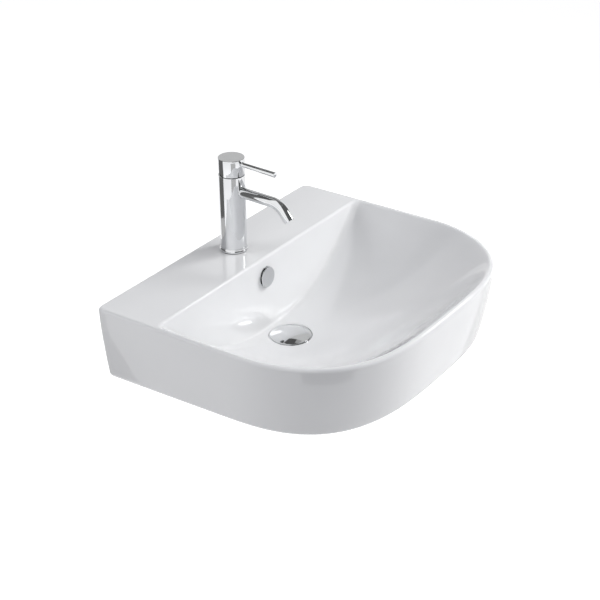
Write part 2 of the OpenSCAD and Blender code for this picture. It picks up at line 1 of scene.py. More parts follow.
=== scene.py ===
"""Wall-hung ceramic basin with a mixer tap, an overflow cover and a push-type waste."""
import json
import logging
import math
from dataclasses import dataclass, field
from enum import Enum
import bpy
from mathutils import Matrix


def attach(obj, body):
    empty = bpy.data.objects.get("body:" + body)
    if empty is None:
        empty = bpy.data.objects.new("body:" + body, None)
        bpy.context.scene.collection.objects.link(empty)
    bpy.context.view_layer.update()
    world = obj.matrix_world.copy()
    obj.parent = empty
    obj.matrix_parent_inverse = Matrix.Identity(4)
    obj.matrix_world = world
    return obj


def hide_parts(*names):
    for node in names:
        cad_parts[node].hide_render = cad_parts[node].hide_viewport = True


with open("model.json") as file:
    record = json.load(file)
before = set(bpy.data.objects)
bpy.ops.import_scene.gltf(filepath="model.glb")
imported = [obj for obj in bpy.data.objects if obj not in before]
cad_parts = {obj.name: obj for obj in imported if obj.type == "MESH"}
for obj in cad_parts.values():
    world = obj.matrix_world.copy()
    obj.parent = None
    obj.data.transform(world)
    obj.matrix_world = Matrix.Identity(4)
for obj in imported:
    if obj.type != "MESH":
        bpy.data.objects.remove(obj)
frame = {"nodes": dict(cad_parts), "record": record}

from types import SimpleNamespace
from typing import Callable, Sequence

import bmesh
import bpy
import numpy as np
from mathutils import Matrix, Vector

LOG = logging.getLogger("basin")
MM = 0.001
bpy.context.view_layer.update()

Piece = bpy.types.Object
Node = bpy.types.Node
Socket = bpy.types.NodeSocket
Tree = bpy.types.NodeTree
Pair = tuple[float, float]
Triple = tuple[float, float, float]
Section = Sequence[tuple[float, ...]]
Share = np.ndarray | float


class Cut(Enum):
    """How a tool solid changes the piece that it is used on."""

    AWAY = "DIFFERENCE"
    ADD = "UNION"
    SHARED = "INTERSECT"


class Body(Enum):
    """The bodies that the pieces ride on."""

    BASIN = "basin"
    LIFT = "lift"
    PLUG = "plug"


class Texture(Enum):
    """The node that makes a texture."""

    NOISE = "ShaderNodeTexNoise"
    SPECKS = "ShaderNodeTexVoronoi"


# Node trees

class Sheet:
    """A node tree in the making."""

    def __init__(self, tree: Tree) -> None:
        """Takes the tree to add to."""
        self.tree = tree

    def join(self, value: object, socket: Socket) -> None:
        """Links or sets one input.

        Args:
            value: a wire, an output or a plain value.
            socket: the input.
        """
        source = value.socket if isinstance(value, Wire) else value
        if isinstance(source, Socket):
            self.tree.links.new(source, socket)
        else:
            socket.default_value = source

    def feed(self, node: Node, **inputs: object) -> Node:
        """Links or sets a node's inputs.

        Args:
            node: the node.
            inputs: what goes into each; an underscore in a name stands for a space.

        Returns:
            The node.
        """
        for name, value in inputs.items():
            self.join(value, node.inputs[name.replace("_", " ")])
        return node

    def node(self, kind: str, **inputs: object) -> Node:
        """A new node with its inputs fed."""
        return self.feed(self.tree.nodes.new(kind), **inputs)

    def maths(self, operation: str, *operands: "Wire | float") -> "Wire":
        """The result of a Math node.

        Args:
            operation: its operation.
            operands: its operands in order.

        Returns:
            The result.
        """
        made = self.tree.nodes.new("ShaderNodeMath")
        made.operation = operation
        for socket, operand in zip(made.inputs, operands):
            self.join(operand, socket)
        return Wire(self, made.outputs["Value"])


class Wire:
    """One number of a node tree, with the arithmetic that a formula needs."""

    def __init__(self, sheet: Sheet, socket: Socket) -> None:
        """Wraps an output of a tree."""
        self.sheet, self.socket = sheet, socket

    def math(self, operation: str, *others: "Wire | float") -> "Wire":
        """Feeds this number and then others to a Math node."""
        return self.sheet.maths(operation, self, *others)

    def __add__(self, other: "Wire | float") -> "Wire":
        """Sum."""
        return self.math("ADD", other)

    def __sub__(self, other: "Wire | float") -> "Wire":
        """Difference."""
        return self.math("SUBTRACT", other)

    def __rsub__(self, other: float) -> "Wire":
        """Difference from a number."""
        return self.sheet.maths("SUBTRACT", other, self)

    def __mul__(self, other: "Wire | float") -> "Wire":
        """Product."""
        return self.math("MULTIPLY", other)

    def __truediv__(self, other: "Wire | float") -> "Wire":
        """Quotient."""
        return self.math("DIVIDE", other)

    def __rtruediv__(self, other: float) -> "Wire":
        """Quotient of a number by this one."""
        return self.sheet.maths("DIVIDE", other, self)

    def power(self, exponent: "Wire | float") -> "Wire":
        """Power of the absolute value, with the sign kept."""
        return self.math("ABSOLUTE").math("POWER", exponent) * self.math("SIGN")


# Finishes

@dataclass(frozen=True)
class Grain:
    """A texture on the object's coordinates: features per metre, octaves, stretch and span.

    The part of its values that span names, if any, is spread over 0 to 1.
    """

    scale: float
    detail: float = 3.0
    kind: Texture = Texture.NOISE
    stretch: Triple | None = None
    span: Pair | None = None


Tone = tuple[Grain, Pair, Pair]
Measured = tuple[Grain, float, float]


class ShaderSheet(Sheet):
    """A material's node tree with one Principled shader."""

    def __init__(self, name: str) -> None:
        """Starts a material.

        Args:
            name: its name.
        """
        self.material = bpy.data.materials.new(name)
        self.material.use_nodes = True
        super().__init__(self.material.node_tree)
        self.shader = self.tree.nodes["Principled BSDF"]
        self.textures: dict[Grain, Socket] = {}

    def texture(self, grain: Grain) -> Socket:
        """The field of a texture, made once.

        Args:
            grain: the texture.

        Returns:
            The field.
        """
        if grain not in self.textures:
            spot = self.node("ShaderNodeTexCoord").outputs["Object"]
            if grain.stretch:
                mapped = self.node("ShaderNodeMapping", Vector=spot, Scale=grain.stretch)
                spot = mapped.outputs["Vector"]
            value = self.node(grain.kind.value, Vector=spot, Scale=grain.scale,
                              Detail=grain.detail).outputs[0]
            if grain.span:
                value = self.spread(value, 0.0, 1.0, grain.span)
            self.textures[grain] = value
        return self.textures[grain]

    def spread(self, source: Socket, low: float, high: float, span: Pair = (0.3, 0.7)) -> Socket:
        """Maps the part of a field within a span to low..high."""
        return self.node("ShaderNodeMapRange", Value=source, From_Min=span[0], From_Max=span[1],
                         To_Min=low, To_Max=high).outputs["Result"]

    def ramp(self, source: Socket, stops: Sequence[tuple[float, Sequence[float]]]) -> Socket:
        """Colours a field.

        Args:
            source: the field, 0 to 1.
            stops: two places and their colours.

        Returns:
            The colour.
        """
        node = self.node("ShaderNodeValToRGB", Fac=source)
        for element, (place, colour) in zip(node.color_ramp.elements, stops):
            element.position = place
            element.color = (*colour, 1.0)
        return node.outputs["Color"]

    def bump(self, heights: Sequence[Measured]) -> Socket:
        """Chains bump nodes.

        Args:
            heights: for each its texture, strength and depth in metres.

        Returns:
            The normal that they end in.
        """
        chain: dict[str, Socket] = {}
        for grain, strength, depth in heights:
            node = self.node("ShaderNodeBump", Height=self.texture(grain), Strength=strength,
                             Distance=depth, **chain)
            chain = {"Normal": node.outputs["Normal"]}
        return chain["Normal"]


@dataclass(frozen=True)
class Finish:
    """A finish: its record slot, colour and gloss, and the textures that vary them.

    tone has a texture and two of its values, each with the factor that the colour gets there.
    haze has a texture, and what its lowest and highest values add to the roughness. bumps have
    a texture, a strength and a depth in metres. inputs are the shader's other numbers.
    """

    slot: str
    colour: Triple
    roughness: float
    tone: Tone
    haze: Measured
    bumps: tuple[Measured, ...]
    inputs: tuple[tuple[str, float], ...] = ()

    def material(self) -> bpy.types.Material:
        """The finish's material, made once.

        Returns:
            The material.
        """
        name = "finish_" + self.slot
        if name in bpy.data.materials:
            return bpy.data.materials[name]
        sheet = ShaderSheet(name)
        grain, *places = self.tone
        stops = [(place, [min(1.0, c * factor) for c in self.colour]) for place, factor in places]
        haze, less, more = self.haze
        gloss = sheet.spread(sheet.texture(haze), self.roughness + less, self.roughness + more)
        sheet.feed(sheet.shader, Base_Color=sheet.ramp(sheet.texture(grain), stops),
                   Roughness=gloss, Normal=sheet.bump(self.bumps), **dict(self.inputs))
        return sheet.material


@dataclass(frozen=True)
class Glaze(Finish):
    """White vitreous glaze: wet gloss with soft waves and fine pits over a faintly uneven white."""

    slot: str = "glaze"
    colour: Triple = (0.80, 0.805, 0.81)
    roughness: float = 0.22
    tone: Tone = (Grain(7.0, 2.0), (0.3, 0.985), (0.7, 1.01))
    haze: Measured = (Grain(35.0), -0.03, 0.04)
    bumps: tuple[Measured, ...] = (
        (Grain(22.0, 1.0), 0.12, 0.0006), (Grain(160.0, 1.0), 0.06, 0.0001),
        (Grain(420.0, 0.0, Texture.SPECKS, span=(0.02, 0.12)), 0.05, 0.00005))
    inputs: tuple[tuple[str, float], ...] = (
        ("IOR", 1.52), ("Coat Weight", 1.0), ("Coat Roughness", 0.03), ("Coat IOR", 1.5))


@dataclass(frozen=True)
class ChromePlate(Finish):
    """Polished chrome plate with a slight wave and the faint haze of wiping."""

    slot: str = "chrome"
    colour: Triple = (0.83, 0.84, 0.85)
    roughness: float = 0.045
    tone: Tone = (Grain(60.0), (0.35, 0.97), (0.65, 1.0))
    haze: Measured = (Grain(90.0, 4.0, stretch=(1.0, 1.0, 0.25)), -0.015, 0.03)
    bumps: tuple[Measured, ...] = ((Grain(120.0, 1.0), 0.03, 0.00004),)
    inputs: tuple[tuple[str, float], ...] = (("Metallic", 1.0),)


@dataclass(frozen=True)
class Brass(Finish):
    """Machined brass: turning marks and a little tarnish."""

    slot: str = "brass"
    colour: Triple = (0.75, 0.55, 0.24)
    roughness: float = 0.28
    tone: Tone = (Grain(140.0, 5.0), (0.35, 0.72), (0.6, 1.0))
    haze: Measured = (Grain(500.0, 2.0, stretch=(0.15, 0.15, 6.0)), -0.06, 0.1)
    bumps: tuple[Measured, ...] = ((haze[0], 0.2, 0.00004),)
    inputs: tuple[tuple[str, float], ...] = (("Metallic", 1.0),)


@dataclass(frozen=True)
class Steel(Finish):
    """Bright zinc or stainless steel: drawn marks, spangles and small differences of gloss."""

    slot: str = "steel"
    colour: Triple = (0.58, 0.59, 0.61)
    roughness: float = 0.3
    tone: Tone = (Grain(260.0, 0.0, Texture.SPECKS), (0.1, 0.85), (0.5, 1.0))
    haze: Measured = (Grain(420.0, stretch=(4.0, 0.3, 4.0)), -0.08, 0.1)
    bumps: tuple[Measured, ...] = ((haze[0], 0.18, 0.00003),)
    inputs: tuple[tuple[str, float], ...] = (("Metallic", 1.0),)


@dataclass(frozen=True)
class Rubber(Finish):
    """Matt black rubber with a bloom of grey and a fine moulded grain."""

    slot: str = "rubber"
    colour: Triple = (0.028, 0.028, 0.03)
    roughness: float = 0.72
    tone: Tone = (Grain(150.0, 5.0), (0.4, 0.8), (0.75, 1.9))
    haze: Measured = (Grain(300.0), -0.1, 0.08)
    bumps: tuple[Measured, ...] = ((Grain(1800.0, 2.0), 0.25, 0.00004),)


@dataclass(frozen=True)
class Nylon(Finish):
    """Natural white nylon, slightly clear, with flow marks and a moulded grain."""

    slot: str = "nylon"
    colour: Triple = (0.72, 0.71, 0.66)
    roughness: float = 0.42
    tone: Tone = (Grain(80.0), (0.3, 0.93), (0.7, 1.0))
    haze: Measured = (Grain(220.0), -0.06, 0.08)
    bumps: tuple[Measured, ...] = ((Grain(1500.0, 2.0), 0.2, 0.00003),)
    inputs: tuple[tuple[str, float], ...] = (
        ("Subsurface Weight", 0.15), ("Subsurface Scale", 0.002))


GLAZE, CHROME, BRASS = Glaze(), ChromePlate(), Brass()
STEEL, RUBBER, NYLON = Steel(), Rubber(), Nylon()
FINISHES = {finish.slot: finish for finish in (GLAZE, CHROME, BRASS, STEEL, RUBBER, NYLON)}


# Geometry node trees

RINGS = ("half_w", "rear", "front", "curve", "square_x", "square_y", "corner", "z_rear",
         "z_front", "turned", "radius")
STATIONS = ("x_wide", "x_corner", "y_rear", "y_curve", "y_corner", "on_front", "cosine",
            "sine", "angle")


def contour(c: SimpleNamespace, body_depth: object, power: Callable) -> tuple:
    """Where the points of a contour lie: across, out from the wall, and up.

    Args:
        c: the numbers named in RINGS and STATIONS, as arrays or wires.
        body_depth: the basin's depth.
        power: raises a number to a power and keeps its sign.

    Returns:
        The three distances.
    """
    bow = c.half_w * power(c.cosine, 2.0 / c.square_x) * c.on_front
    reach = (c.front - c.curve) * power(c.sine, 2.0 / c.square_y) * c.on_front
    depth = c.rear * c.y_rear + c.curve * c.y_curve + c.corner * c.y_corner + reach
    return (c.half_w * c.x_wide + c.corner * c.x_corner + bow, depth,
            c.z_rear + (c.z_front - c.z_rear) * (depth / body_depth))


class Graph(Sheet):
    """A Geometry Nodes tree in the making."""

    def __init__(self, name: str, *sizes: str) -> None:
        """Starts a tree.

        Args:
            name: the tree's name.
            sizes: names of its number inputs.
        """
        super().__init__(bpy.data.node_groups.new(name, "GeometryNodeTree"))
        face = self.tree.interface
        for label in ("Geometry", *sizes, "Finish"):
            kind = {"Geometry": "Geometry", "Finish": "Material"}.get(label, "Float")
            face.new_socket(name=label, in_out="INPUT", socket_type="NodeSocket" + kind)
        face.new_socket(name="Geometry", in_out="OUTPUT", socket_type="NodeSocketGeometry")
        self.start = self.tree.nodes.new("NodeGroupInput")
        self.given = self.start.outputs["Geometry"]

    def size(self, name: str) -> Wire:
        """One of the tree's number inputs."""
        return Wire(self, self.start.outputs[name])

    def attribute(self, name: str) -> Wire:
        """A number kept on the points under a name."""
        made = self.node("GeometryNodeInputNamedAttribute", Name=name)
        return Wire(self, made.outputs["Attribute"])

    def finish(self, geometry: Socket) -> Tree:
        """Ends the tree: real geometry, smooth, with its finish.

        Args:
            geometry: the geometry to hand out.

        Returns:
            The finished tree.
        """
        real = self.node("GeometryNodeRealizeInstances", Geometry=geometry)
        smooth = self.node("GeometryNodeSetShadeSmooth", Geometry=real.outputs["Geometry"])
        dressed = self.node("GeometryNodeSetMaterial", Geometry=smooth.outputs["Geometry"],
                            Material=self.start.outputs["Finish"])
        self.node("NodeGroupOutput", Geometry=dressed.outputs["Geometry"])
        return self.tree

    def finish_moved(self, x: Wire, y: Wire, z: Wire) -> Tree:
        """Ends the tree with the given points moved to x, y and z.

        Args:
            x: the distance across.
            y: the distance along.
            z: the height.

        Returns:
            The finished tree.
        """
        spot = self.node("ShaderNodeCombineXYZ", X=x, Y=y, Z=z).outputs["Vector"]
        moved = self.node("GeometryNodeSetPosition", Geometry=self.given, Position=spot)
        return self.finish(moved.outputs["Geometry"])


def grow(piece: Piece, tree: Tree, finish: Finish, **sizes: float) -> None:
    """Runs a tree on a piece and keeps the plain mesh.

    Args:
        piece: the object whose mesh the tree starts from.
        tree: the tree.
        finish: the finish that the tree sets.
        sizes: the tree's number inputs; an underscore stands for a space.
    """
    values = {name.replace("_", " "): value for name, value in sizes.items()}
    values["Finish"] = finish.material()
    modifier = piece.modifiers.new("shape", "NODES")
    modifier.node_group = tree
    for item in tree.interface.items_tree:
        if item.item_type == "SOCKET" and item.in_out == "INPUT" and item.name in values:
            modifier[item.identifier] = values[item.name]
    settle(piece)


def contour_tree() -> Tree:
    """The tree that lays every point of a ceramic skin on its contour.

    Returns:
        The tree.
    """
    g = Graph("ceramic_contours", "Body depth", "Waste distance", "Unit")
    c = SimpleNamespace(**{name: g.attribute(name) for name in RINGS + STATIONS})
    x, depth, z = contour(c, g.size("Body depth"), Wire.power)
    x = x + (c.radius * c.angle.math("COSINE") - x) * c.turned
    round_depth = g.size("Waste distance") - c.radius * c.angle.math("SINE")
    depth = depth + (round_depth - depth) * c.turned
    unit = g.size("Unit")
    return g.finish_moved(x * unit, depth * unit * -1.0, (z + (c.z_rear - z) * c.turned) * unit)


def tube_tree() -> Tree:
    """The tree that sweeps a round tube along a path with a bend.

    Returns:
        The tree.
    """
    bend_steps, sides = 28, 80
    g = Graph("bent_tube", "Bend radius", "Tube radius")
    path = g.node("GeometryNodeMeshToCurve", Mesh=g.given)
    bend = g.tree.nodes.new("GeometryNodeFilletCurve")
    bend.mode = "POLY"
    g.feed(bend, Curve=path.outputs["Curve"], Radius=g.size("Bend radius"), Count=bend_steps)
    section = g.node("GeometryNodeCurvePrimitiveCircle", Resolution=sides,
                     Radius=g.size("Tube radius"))
    tube = g.node("GeometryNodeCurveToMesh", Curve=bend.outputs["Curve"],
                  Profile_Curve=section.outputs["Curve"])
    return g.finish(tube.outputs["Mesh"])


def thread_tree() -> Tree:
    """The tree that winds a thread into the side of a round piece whose axis is Z.

    Returns:
        The tree.
    """
    above_zero, least = 200.0, 0.0001
    g = Graph("wound_thread", "Pitch", "Depth", "Low", "High", "Reach")
    spot = g.node("ShaderNodeSeparateXYZ", Vector=g.node("GeometryNodeInputPosition").outputs[0])
    x, y, z = (Wire(g, spot.outputs[n]) for n in "XYZ")
    radius = (x * x + y * y).math("SQRT")
    turns = y.math("ARCTAN2", x) / math.tau
    wave = (z / g.size("Pitch") - turns + above_zero).math("PINGPONG", 0.5) * 2.0
    inside = z.math("GREATER_THAN", g.size("Low")) * z.math("LESS_THAN", g.size("High"))
    inside = inside * radius.math("GREATER_THAN", g.size("Reach"))
    factor = 1.0 - wave * g.size("Depth") * inside / radius.math("MAXIMUM", least)
    return g.finish_moved(x * factor, y * factor, z)


def comb_tree() -> Tree:
    """The tree that sets hexagonal cells on points, as in an aerator's mouth.

    Returns:
        The tree.
    """
    g = Graph("comb_cells", "Cell radius", "Wall", "Height")
    cell = g.node("GeometryNodeCurvePrimitiveCircle", Resolution=6, Radius=g.size("Cell radius"))
    wall = g.node("GeometryNodeCurvePrimitiveQuadrilateral", Width=g.size("Wall"),
                  Height=g.size("Height"))
    ring = g.node("GeometryNodeCurveToMesh", Curve=cell.outputs["Curve"],
                  Profile_Curve=wall.outputs["Curve"])
    set_out = g.node("GeometryNodeInstanceOnPoints", Points=g.given,
                     Instance=ring.outputs["Mesh"])
    return g.finish(set_out.outputs["Instances"])


# Mesh making

def shift(x: float, y: float, z: float) -> Matrix:
    """A move in mm."""
    return Matrix.Translation((x, y, z))


def turn(degrees: float, axis: str) -> Matrix:
    """A turn about an axis through the origin."""
    return Matrix.Rotation(math.radians(degrees), 4, axis)


def new_object(name: str, verts: Sequence[Sequence[float]], faces: Sequence[Sequence[int]],
               edges: Sequence[Sequence[int]] = ()) -> Piece:
    """An object at the origin from points in metres.

    Args:
        name: its name.
        verts: its points.
        faces: its faces.
        edges: its loose edges.

    Returns:
        The object.
    """
    mesh = bpy.data.meshes.new(name)
    mesh.from_pydata([tuple(v) for v in verts], list(edges), list(faces))
    mesh.update()
    made = bpy.data.objects.new(name, mesh)
    bpy.context.scene.collection.objects.link(made)
    return made


def settle(piece: Piece) -> None:
    """Makes a piece's modifiers part of its mesh.

    Args:
        piece: the piece.
    """
    bpy.context.view_layer.update()
    graph = bpy.context.evaluated_depsgraph_get()
    mesh = bpy.data.meshes.new_from_object(piece.evaluated_get(graph), depsgraph=graph)
    piece.modifiers.clear()
    piece.data = mesh


def combine(piece: Piece, tool: Piece, kind: Cut = Cut.AWAY) -> None:
    """Changes a piece with a tool solid, and removes the tool.

    Args:
        piece: the piece to change.
        tool: the other solid.
        kind: what the tool does.
    """
    modifier = piece.modifiers.new("tool", "BOOLEAN")
    modifier.operation = kind.value
    modifier.solver = "EXACT"
    modifier.object = tool
    settle(piece)
    bpy.data.objects.remove(tool)


def soften(piece: Piece, width: float, steps: int = 3, angle: float = 35.0) -> None:
    """Rounds a piece's edges.

    Args:
        piece: the piece.
        width: width of the rounding in mm.
        steps: faces across it.
        angle: edges sharper than this many degrees are rounded.
    """
    modifier = piece.modifiers.new("edges", "BEVEL")
    modifier.width = width * MM
    modifier.segments = steps
    modifier.limit_method = "ANGLE"
    modifier.angle_limit = math.radians(angle)
    modifier.use_clamp_overlap = True
    settle(piece)


def face_out(piece: Piece, sharp: float = 32.0) -> None:
    """Merges doubles, turns the faces outwards and shades them smooth up to an angle.

    Args:
        piece: the piece.
        sharp: edges sharper than this many degrees stay crisp.
    """
    shape = bmesh.new()
    shape.from_mesh(piece.data)
    bmesh.ops.remove_doubles(shape, verts=shape.verts, dist=1e-6)
    bmesh.ops.recalc_face_normals(shape, faces=shape.faces)
    for face in shape.faces:
        face.smooth = True
    shape.to_mesh(piece.data)
    shape.free()
    piece.data.set_sharp_from_angle(angle=math.radians(sharp))


def seat(piece: Piece, place: Matrix) -> None:
    """Moves a mesh from its own millimetres to its place in metres."""
    piece.data.transform(Matrix.Scale(MM, 4) @ place)


def rounded(section: Section, closed: bool, steps: int = 5) -> list[Vector]:
    """Rounds the corners of a turned section.

    Args:
        section: points of radius, height and, where the corner is rounded, its radius.
        closed: whether the last point joins the first.
        steps: faces across a corner.

    Returns:
        The points of the rounded section.
    """
    points = [Vector(p[:2]) for p in section]
    out: list[Vector] = []
    for i, (here, spot) in enumerate(zip(points, section)):
        radius = spot[2] if len(spot) > 2 else 0.0
        if radius <= 0 or (not closed and i in (0, len(section) - 1)):
            out.append(here)
            continue
        back, ahead = points[i - 1] - here, points[(i + 1) % len(points)] - here
        room = min(back.length, ahead.length) * 0.49
        back.normalize()
        ahead.normalize()
        half = math.acos(max(-1.0, min(1.0, back.dot(ahead)))) / 2
        run = min(radius / math.tan(half), room)
        centre = here + (back + ahead).normalized() * (run * math.tan(half) / math.sin(half))
        start, end = here + back * run - centre, here + ahead * run - centre
        sweep = math.pi - 2 * half
        for k in range(steps + 1):
            u = k / steps
            arm = (start * math.sin((1 - u) * sweep) + end * math.sin(u * sweep)) / math.sin(sweep)
            out.append(centre + arm)
    return out


def turned(name: str, section: Section, place: Matrix | None = None, sides: int = 96) -> Piece:
    """A turned piece about local Z.

    Args:
        name: its name.
        section: points of radius, height and rounding in mm, either round a ring or, where the
            first radius is zero, from axis to axis.
        place: where it goes, or None to leave it in its own millimetres.
        sides: faces round it.

    Returns:
        The piece.
    """
    on_axis = 1e-6
    ring = section[0][0] > on_axis
    verts: list[Triple] = []
    rows: list[list[int]] = []
    for point in rounded(section, ring):
        count = 1 if point.x < on_axis else sides
        rows.append([len(verts) + k for k in range(count)])
        for k in range(count):
            a = math.tau * k / sides
            verts.append((point.x * math.cos(a), point.x * math.sin(a), point.y))
    faces: list[tuple[int, ...]] = []
    for low, high in list(zip(rows, rows[1:])) + ([(rows[-1], rows[0])] if ring else []):
        for k in range(sides):
            n = (k + 1) % sides
            corners = (low[k % len(low)], low[n % len(low)], high[n % len(high)],
                       high[k % len(high)])
            face = tuple(dict.fromkeys(corners))
            if len(face) > 2:
                faces.append(face)
    made = new_object(name, verts, faces)
    if place is not None:
        seat(made, place)
    face_out(made)
    return made


def prism(name: str, outline: Sequence[Pair], low: float, high: float, place: Matrix) -> Piece:
    """A straight prism over an outline.

    Args:
        name: its name.
        outline: its corners in mm.
        low: its lower face.
        high: its upper face.
        place: where it goes.

    Returns:
        The piece.
    """
    n = len(outline)
    verts = [(x, y, z) for z in (low, high) for x, y in outline]
    faces = [tuple(range(n - 1, -1, -1)), tuple(range(n, 2 * n))]
    faces += [(k, (k + 1) % n, n + (k + 1) % n, n + k) for k in range(n)]
    made = new_object(name, verts, faces)
    seat(made, place)
    face_out(made)
    return made


def slab(name: str, low: Triple, high: Triple, place: Matrix, edge: float = 0.0) -> Piece:
    """A block between two corners, with rounded edges.

    Args:
        name: its name.
        low: its lowest corner in mm.
        high: its highest corner in mm.
        place: where it goes.
        edge: rounding of its edges in mm.

    Returns:
        The block.
    """
    outline = [(low[0], low[1]), (high[0], low[1]), (high[0], high[1]), (low[0], high[1])]
    made = prism(name, outline, low[2], high[2], place)
    if edge:
        soften(made, edge)
    return made


def rod(name: str, radius: float, low: float, high: float, place: Matrix,
        sides: int = 96) -> Piece:
    """A plain round tool solid."""
    return turned(name, [(0, low), (radius, low), (radius, high), (0, high)], place, sides)


def nut(name: str, across_flats: float, bore: float, low: float, high: float, place: Matrix,
        flats: int = 6) -> Piece:
    """A nut with chamfered corners and a countersunk bore.

    Args:
        name: its name.
        across_flats: its width in mm.
        bore: radius of its bore.
        low: its lower face.
        high: its upper face.
        place: where it goes.
        flats: its number of flats.

    Returns:
        The nut.
    """
    tool_sides, clear = 72, 0.1
    r, c = across_flats / 2 / math.cos(math.pi / flats), across_flats / 2 * 0.98
    outline = [(r * math.cos(math.tau * k / flats), r * math.sin(math.tau * k / flats))
               for k in range(flats)]
    made = prism(name, outline, low, high, place)
    drop = (r - c) * 0.6
    combine(made, turned("shape", [
        (0, low), (c, low), (r + clear, low + drop), (r + clear, high - drop), (c, high),
        (0, high)], place, tool_sides), Cut.SHARED)
    sink = min(0.5, bore * 0.12)
    combine(made, turned("bore", [
        (0, low - 1), (bore + sink, low - 1), (bore + sink, low), (bore, low + sink),
        (bore, high - sink), (bore + sink, high), (bore + sink, high + 1), (0, high + 1)],
        place, tool_sides))
    face_out(made, 25.0)
    return made


def joined(name: str, parts: Sequence[Piece]) -> Piece:
    """Puts several separate solids of one piece in one object.

    Args:
        name: the object's name.
        parts: the solids.

    Returns:
        The object.
    """
    shape = bmesh.new()
    for part in parts:
        shape.from_mesh(part.data)
    made = new_object(name, [], [])
    shape.to_mesh(made.data)
    shape.free()
    for part in parts:
        bpy.data.objects.remove(part)
    face_out(made)
    return made


def keep(piece: Piece, finish: Finish, node: str, body: Body = Body.BASIN) -> None:
    """Dresses a finished piece, sets it on its body and lets it stand for its node.

    Args:
        piece: the piece.
        finish: its finish.
        node: the node that it stands for.
        body: the body that it rides on.
    """
    piece.data.materials.clear()
    piece.data.materials.append(finish.material())
    for layer in [a.name for a in piece.data.attributes if a.name in RINGS + STATIONS]:
        piece.data.attributes.remove(piece.data.attributes[layer])
    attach(piece, body.value)
    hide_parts(node)
    LOG.info("%s: %d faces, %s, on %s", piece.name, len(piece.data.polygons), finish.slot,
             body.value)


# Places of the sub-assemblies, in mm

@dataclass(frozen=True)
class Places:
    """Where the fittings sit on the basin."""

    depth: float = 450.0
    rim: float = 60.0
    tap: float = 52.5
    waste: float = 161.8
    bowl_depth: float = 126.5
    ledge: float = 112.7
    rear_lean: float = 8.0
    overflow: float = -33.0
    fix_span: float = 280.0

    def at_tap(self) -> Matrix:
        """The tap's axis on the ledge."""
        return shift(0, -self.tap, self.rim)

    def at_waste(self) -> Matrix:
        """The waste's axis at the bowl's floor."""
        return shift(0, -self.waste, self.rim - self.bowl_depth)

    def wall_y(self, z: Share) -> Share:
        """Distance of the bowl's rear wall from the wall at a height below the rim."""
        return self.ledge + self.rear_lean * -z / self.bowl_depth

    def at_overflow(self) -> Matrix:
        """The overflow hole, with local Z out of the bowl's rear wall.

        Returns:
            The place.
        """
        lean = math.radians(90) - math.atan(self.rear_lean / self.bowl_depth)
        spot = shift(0, -self.wall_y(self.overflow), self.rim + self.overflow)
        return spot @ Matrix.Rotation(lean, 4, "X")

    def at_wall_holes(self) -> list[Matrix]:
        """The two wall holes, with local Z away from the wall."""
        return [shift(side * self.fix_span / 2, 0, 0) @ turn(90, "X") for side in (-1, 1)]


PLACES = Places()


# The ceramic

def mix(a: Share, b: Share, t: Share) -> Share:
    """The value at share t of the way from a to b."""
    return a + (b - a) * t


class RingTable:
    """The contours of a ceramic skin, ring by ring, as numbers kept on the points."""

    def __init__(self, rear: int, corner: int, side: int, front: int) -> None:
        """Spaces the stations round a contour.

        Args:
            rear: steps along the rear.
            corner: steps round a rear corner.
            side: steps along a side.
            front: steps round the front.
        """
        rows: list[tuple[float, ...]] = []
        for i in range(rear + 1):
            x = 2 * i / rear - 1
            rows.append((x, -x, 1, 0, 0, 0, 0, 0))
        for i in range(1, corner + 1):
            a = math.pi / 2 * (1 - i / corner)
            rows.append((1, math.cos(a) - 1, 1, 0, 1 - math.sin(a), 0, 0, 0))
        for i in range(1, side + 1):
            u = i / side
            rows.append((1, 0, 1 - u, u, 1 - u, 0, 0, 0))
        for i in range(1, front + 1):
            a = math.pi * i / front
            rows.append((0, 0, 0, 1, 0, 1, math.cos(a), max(0.0, math.sin(a))))
        for i in range(1, side + 1):
            u = 1 - i / side
            rows.append((-1, 0, 1 - u, u, 1 - u, 0, 0, 0))
        for i in range(1, corner):
            a = math.pi / 2 - math.pi / 2 * (1 - i / corner)
            rows.append((-1, 1 - math.cos(a), 1, 0, 1 - math.sin(a), 0, 0, 0))
        self.stations = np.array(rows).T
        self.count = len(rows)
        self.angle = np.zeros(self.count)
        self.rings: list[np.ndarray] = []

    def plan(self, ring: np.ndarray) -> tuple[np.ndarray, np.ndarray, np.ndarray]:
        """Where a ring's points lie: across, out from the wall, and up."""
        numbers = {**dict(zip(RINGS, ring)), **dict(zip(STATIONS, self.stations))}
        return contour(SimpleNamespace(**numbers), PLACES.depth,
                       lambda base, exponent: np.sign(base) * np.abs(base) ** exponent)

    def ring(self, *values: Share) -> np.ndarray:
        """A ring's numbers, in the order of RINGS, spread over its stations."""
        full = list(values) + [0.0] * (len(RINGS) - len(values))
        return np.array([np.broadcast_to(v, self.count) for v in full], dtype=float)

    def circle(self, radius: float, height: Share) -> np.ndarray:
        """A round ring about the waste's axis."""
        return self.ring(1, 1, 1, 1, 2, 2, 1, height, height, 1, radius)

    def mesh(self, name: str) -> Piece:
        """All rings as one closed band, its points not yet placed.

        Args:
            name: the object's name.

        Returns:
            The object, with the numbers as attributes.
        """
        n, m = self.count, len(self.rings)
        faces = [(k * n + j, ((k + 1) % m) * n + j, ((k + 1) % m) * n + (j + 1) % n,
                  k * n + (j + 1) % n) for k in range(m) for j in range(n)]
        made = new_object(name, np.zeros((n * m, 3)), faces)
        table = np.stack(self.rings)
        columns = [table[:, i, :] for i in range(len(RINGS))]
        columns += [np.tile(row, (m, 1)) for row in (*self.stations, self.angle)]
        for label, column in zip(RINGS + STATIONS, columns):
            layer = made.data.attributes.new(label, "FLOAT", "POINT")
            layer.data.foreach_set("value", column.astype(np.float32).ravel())
        return made


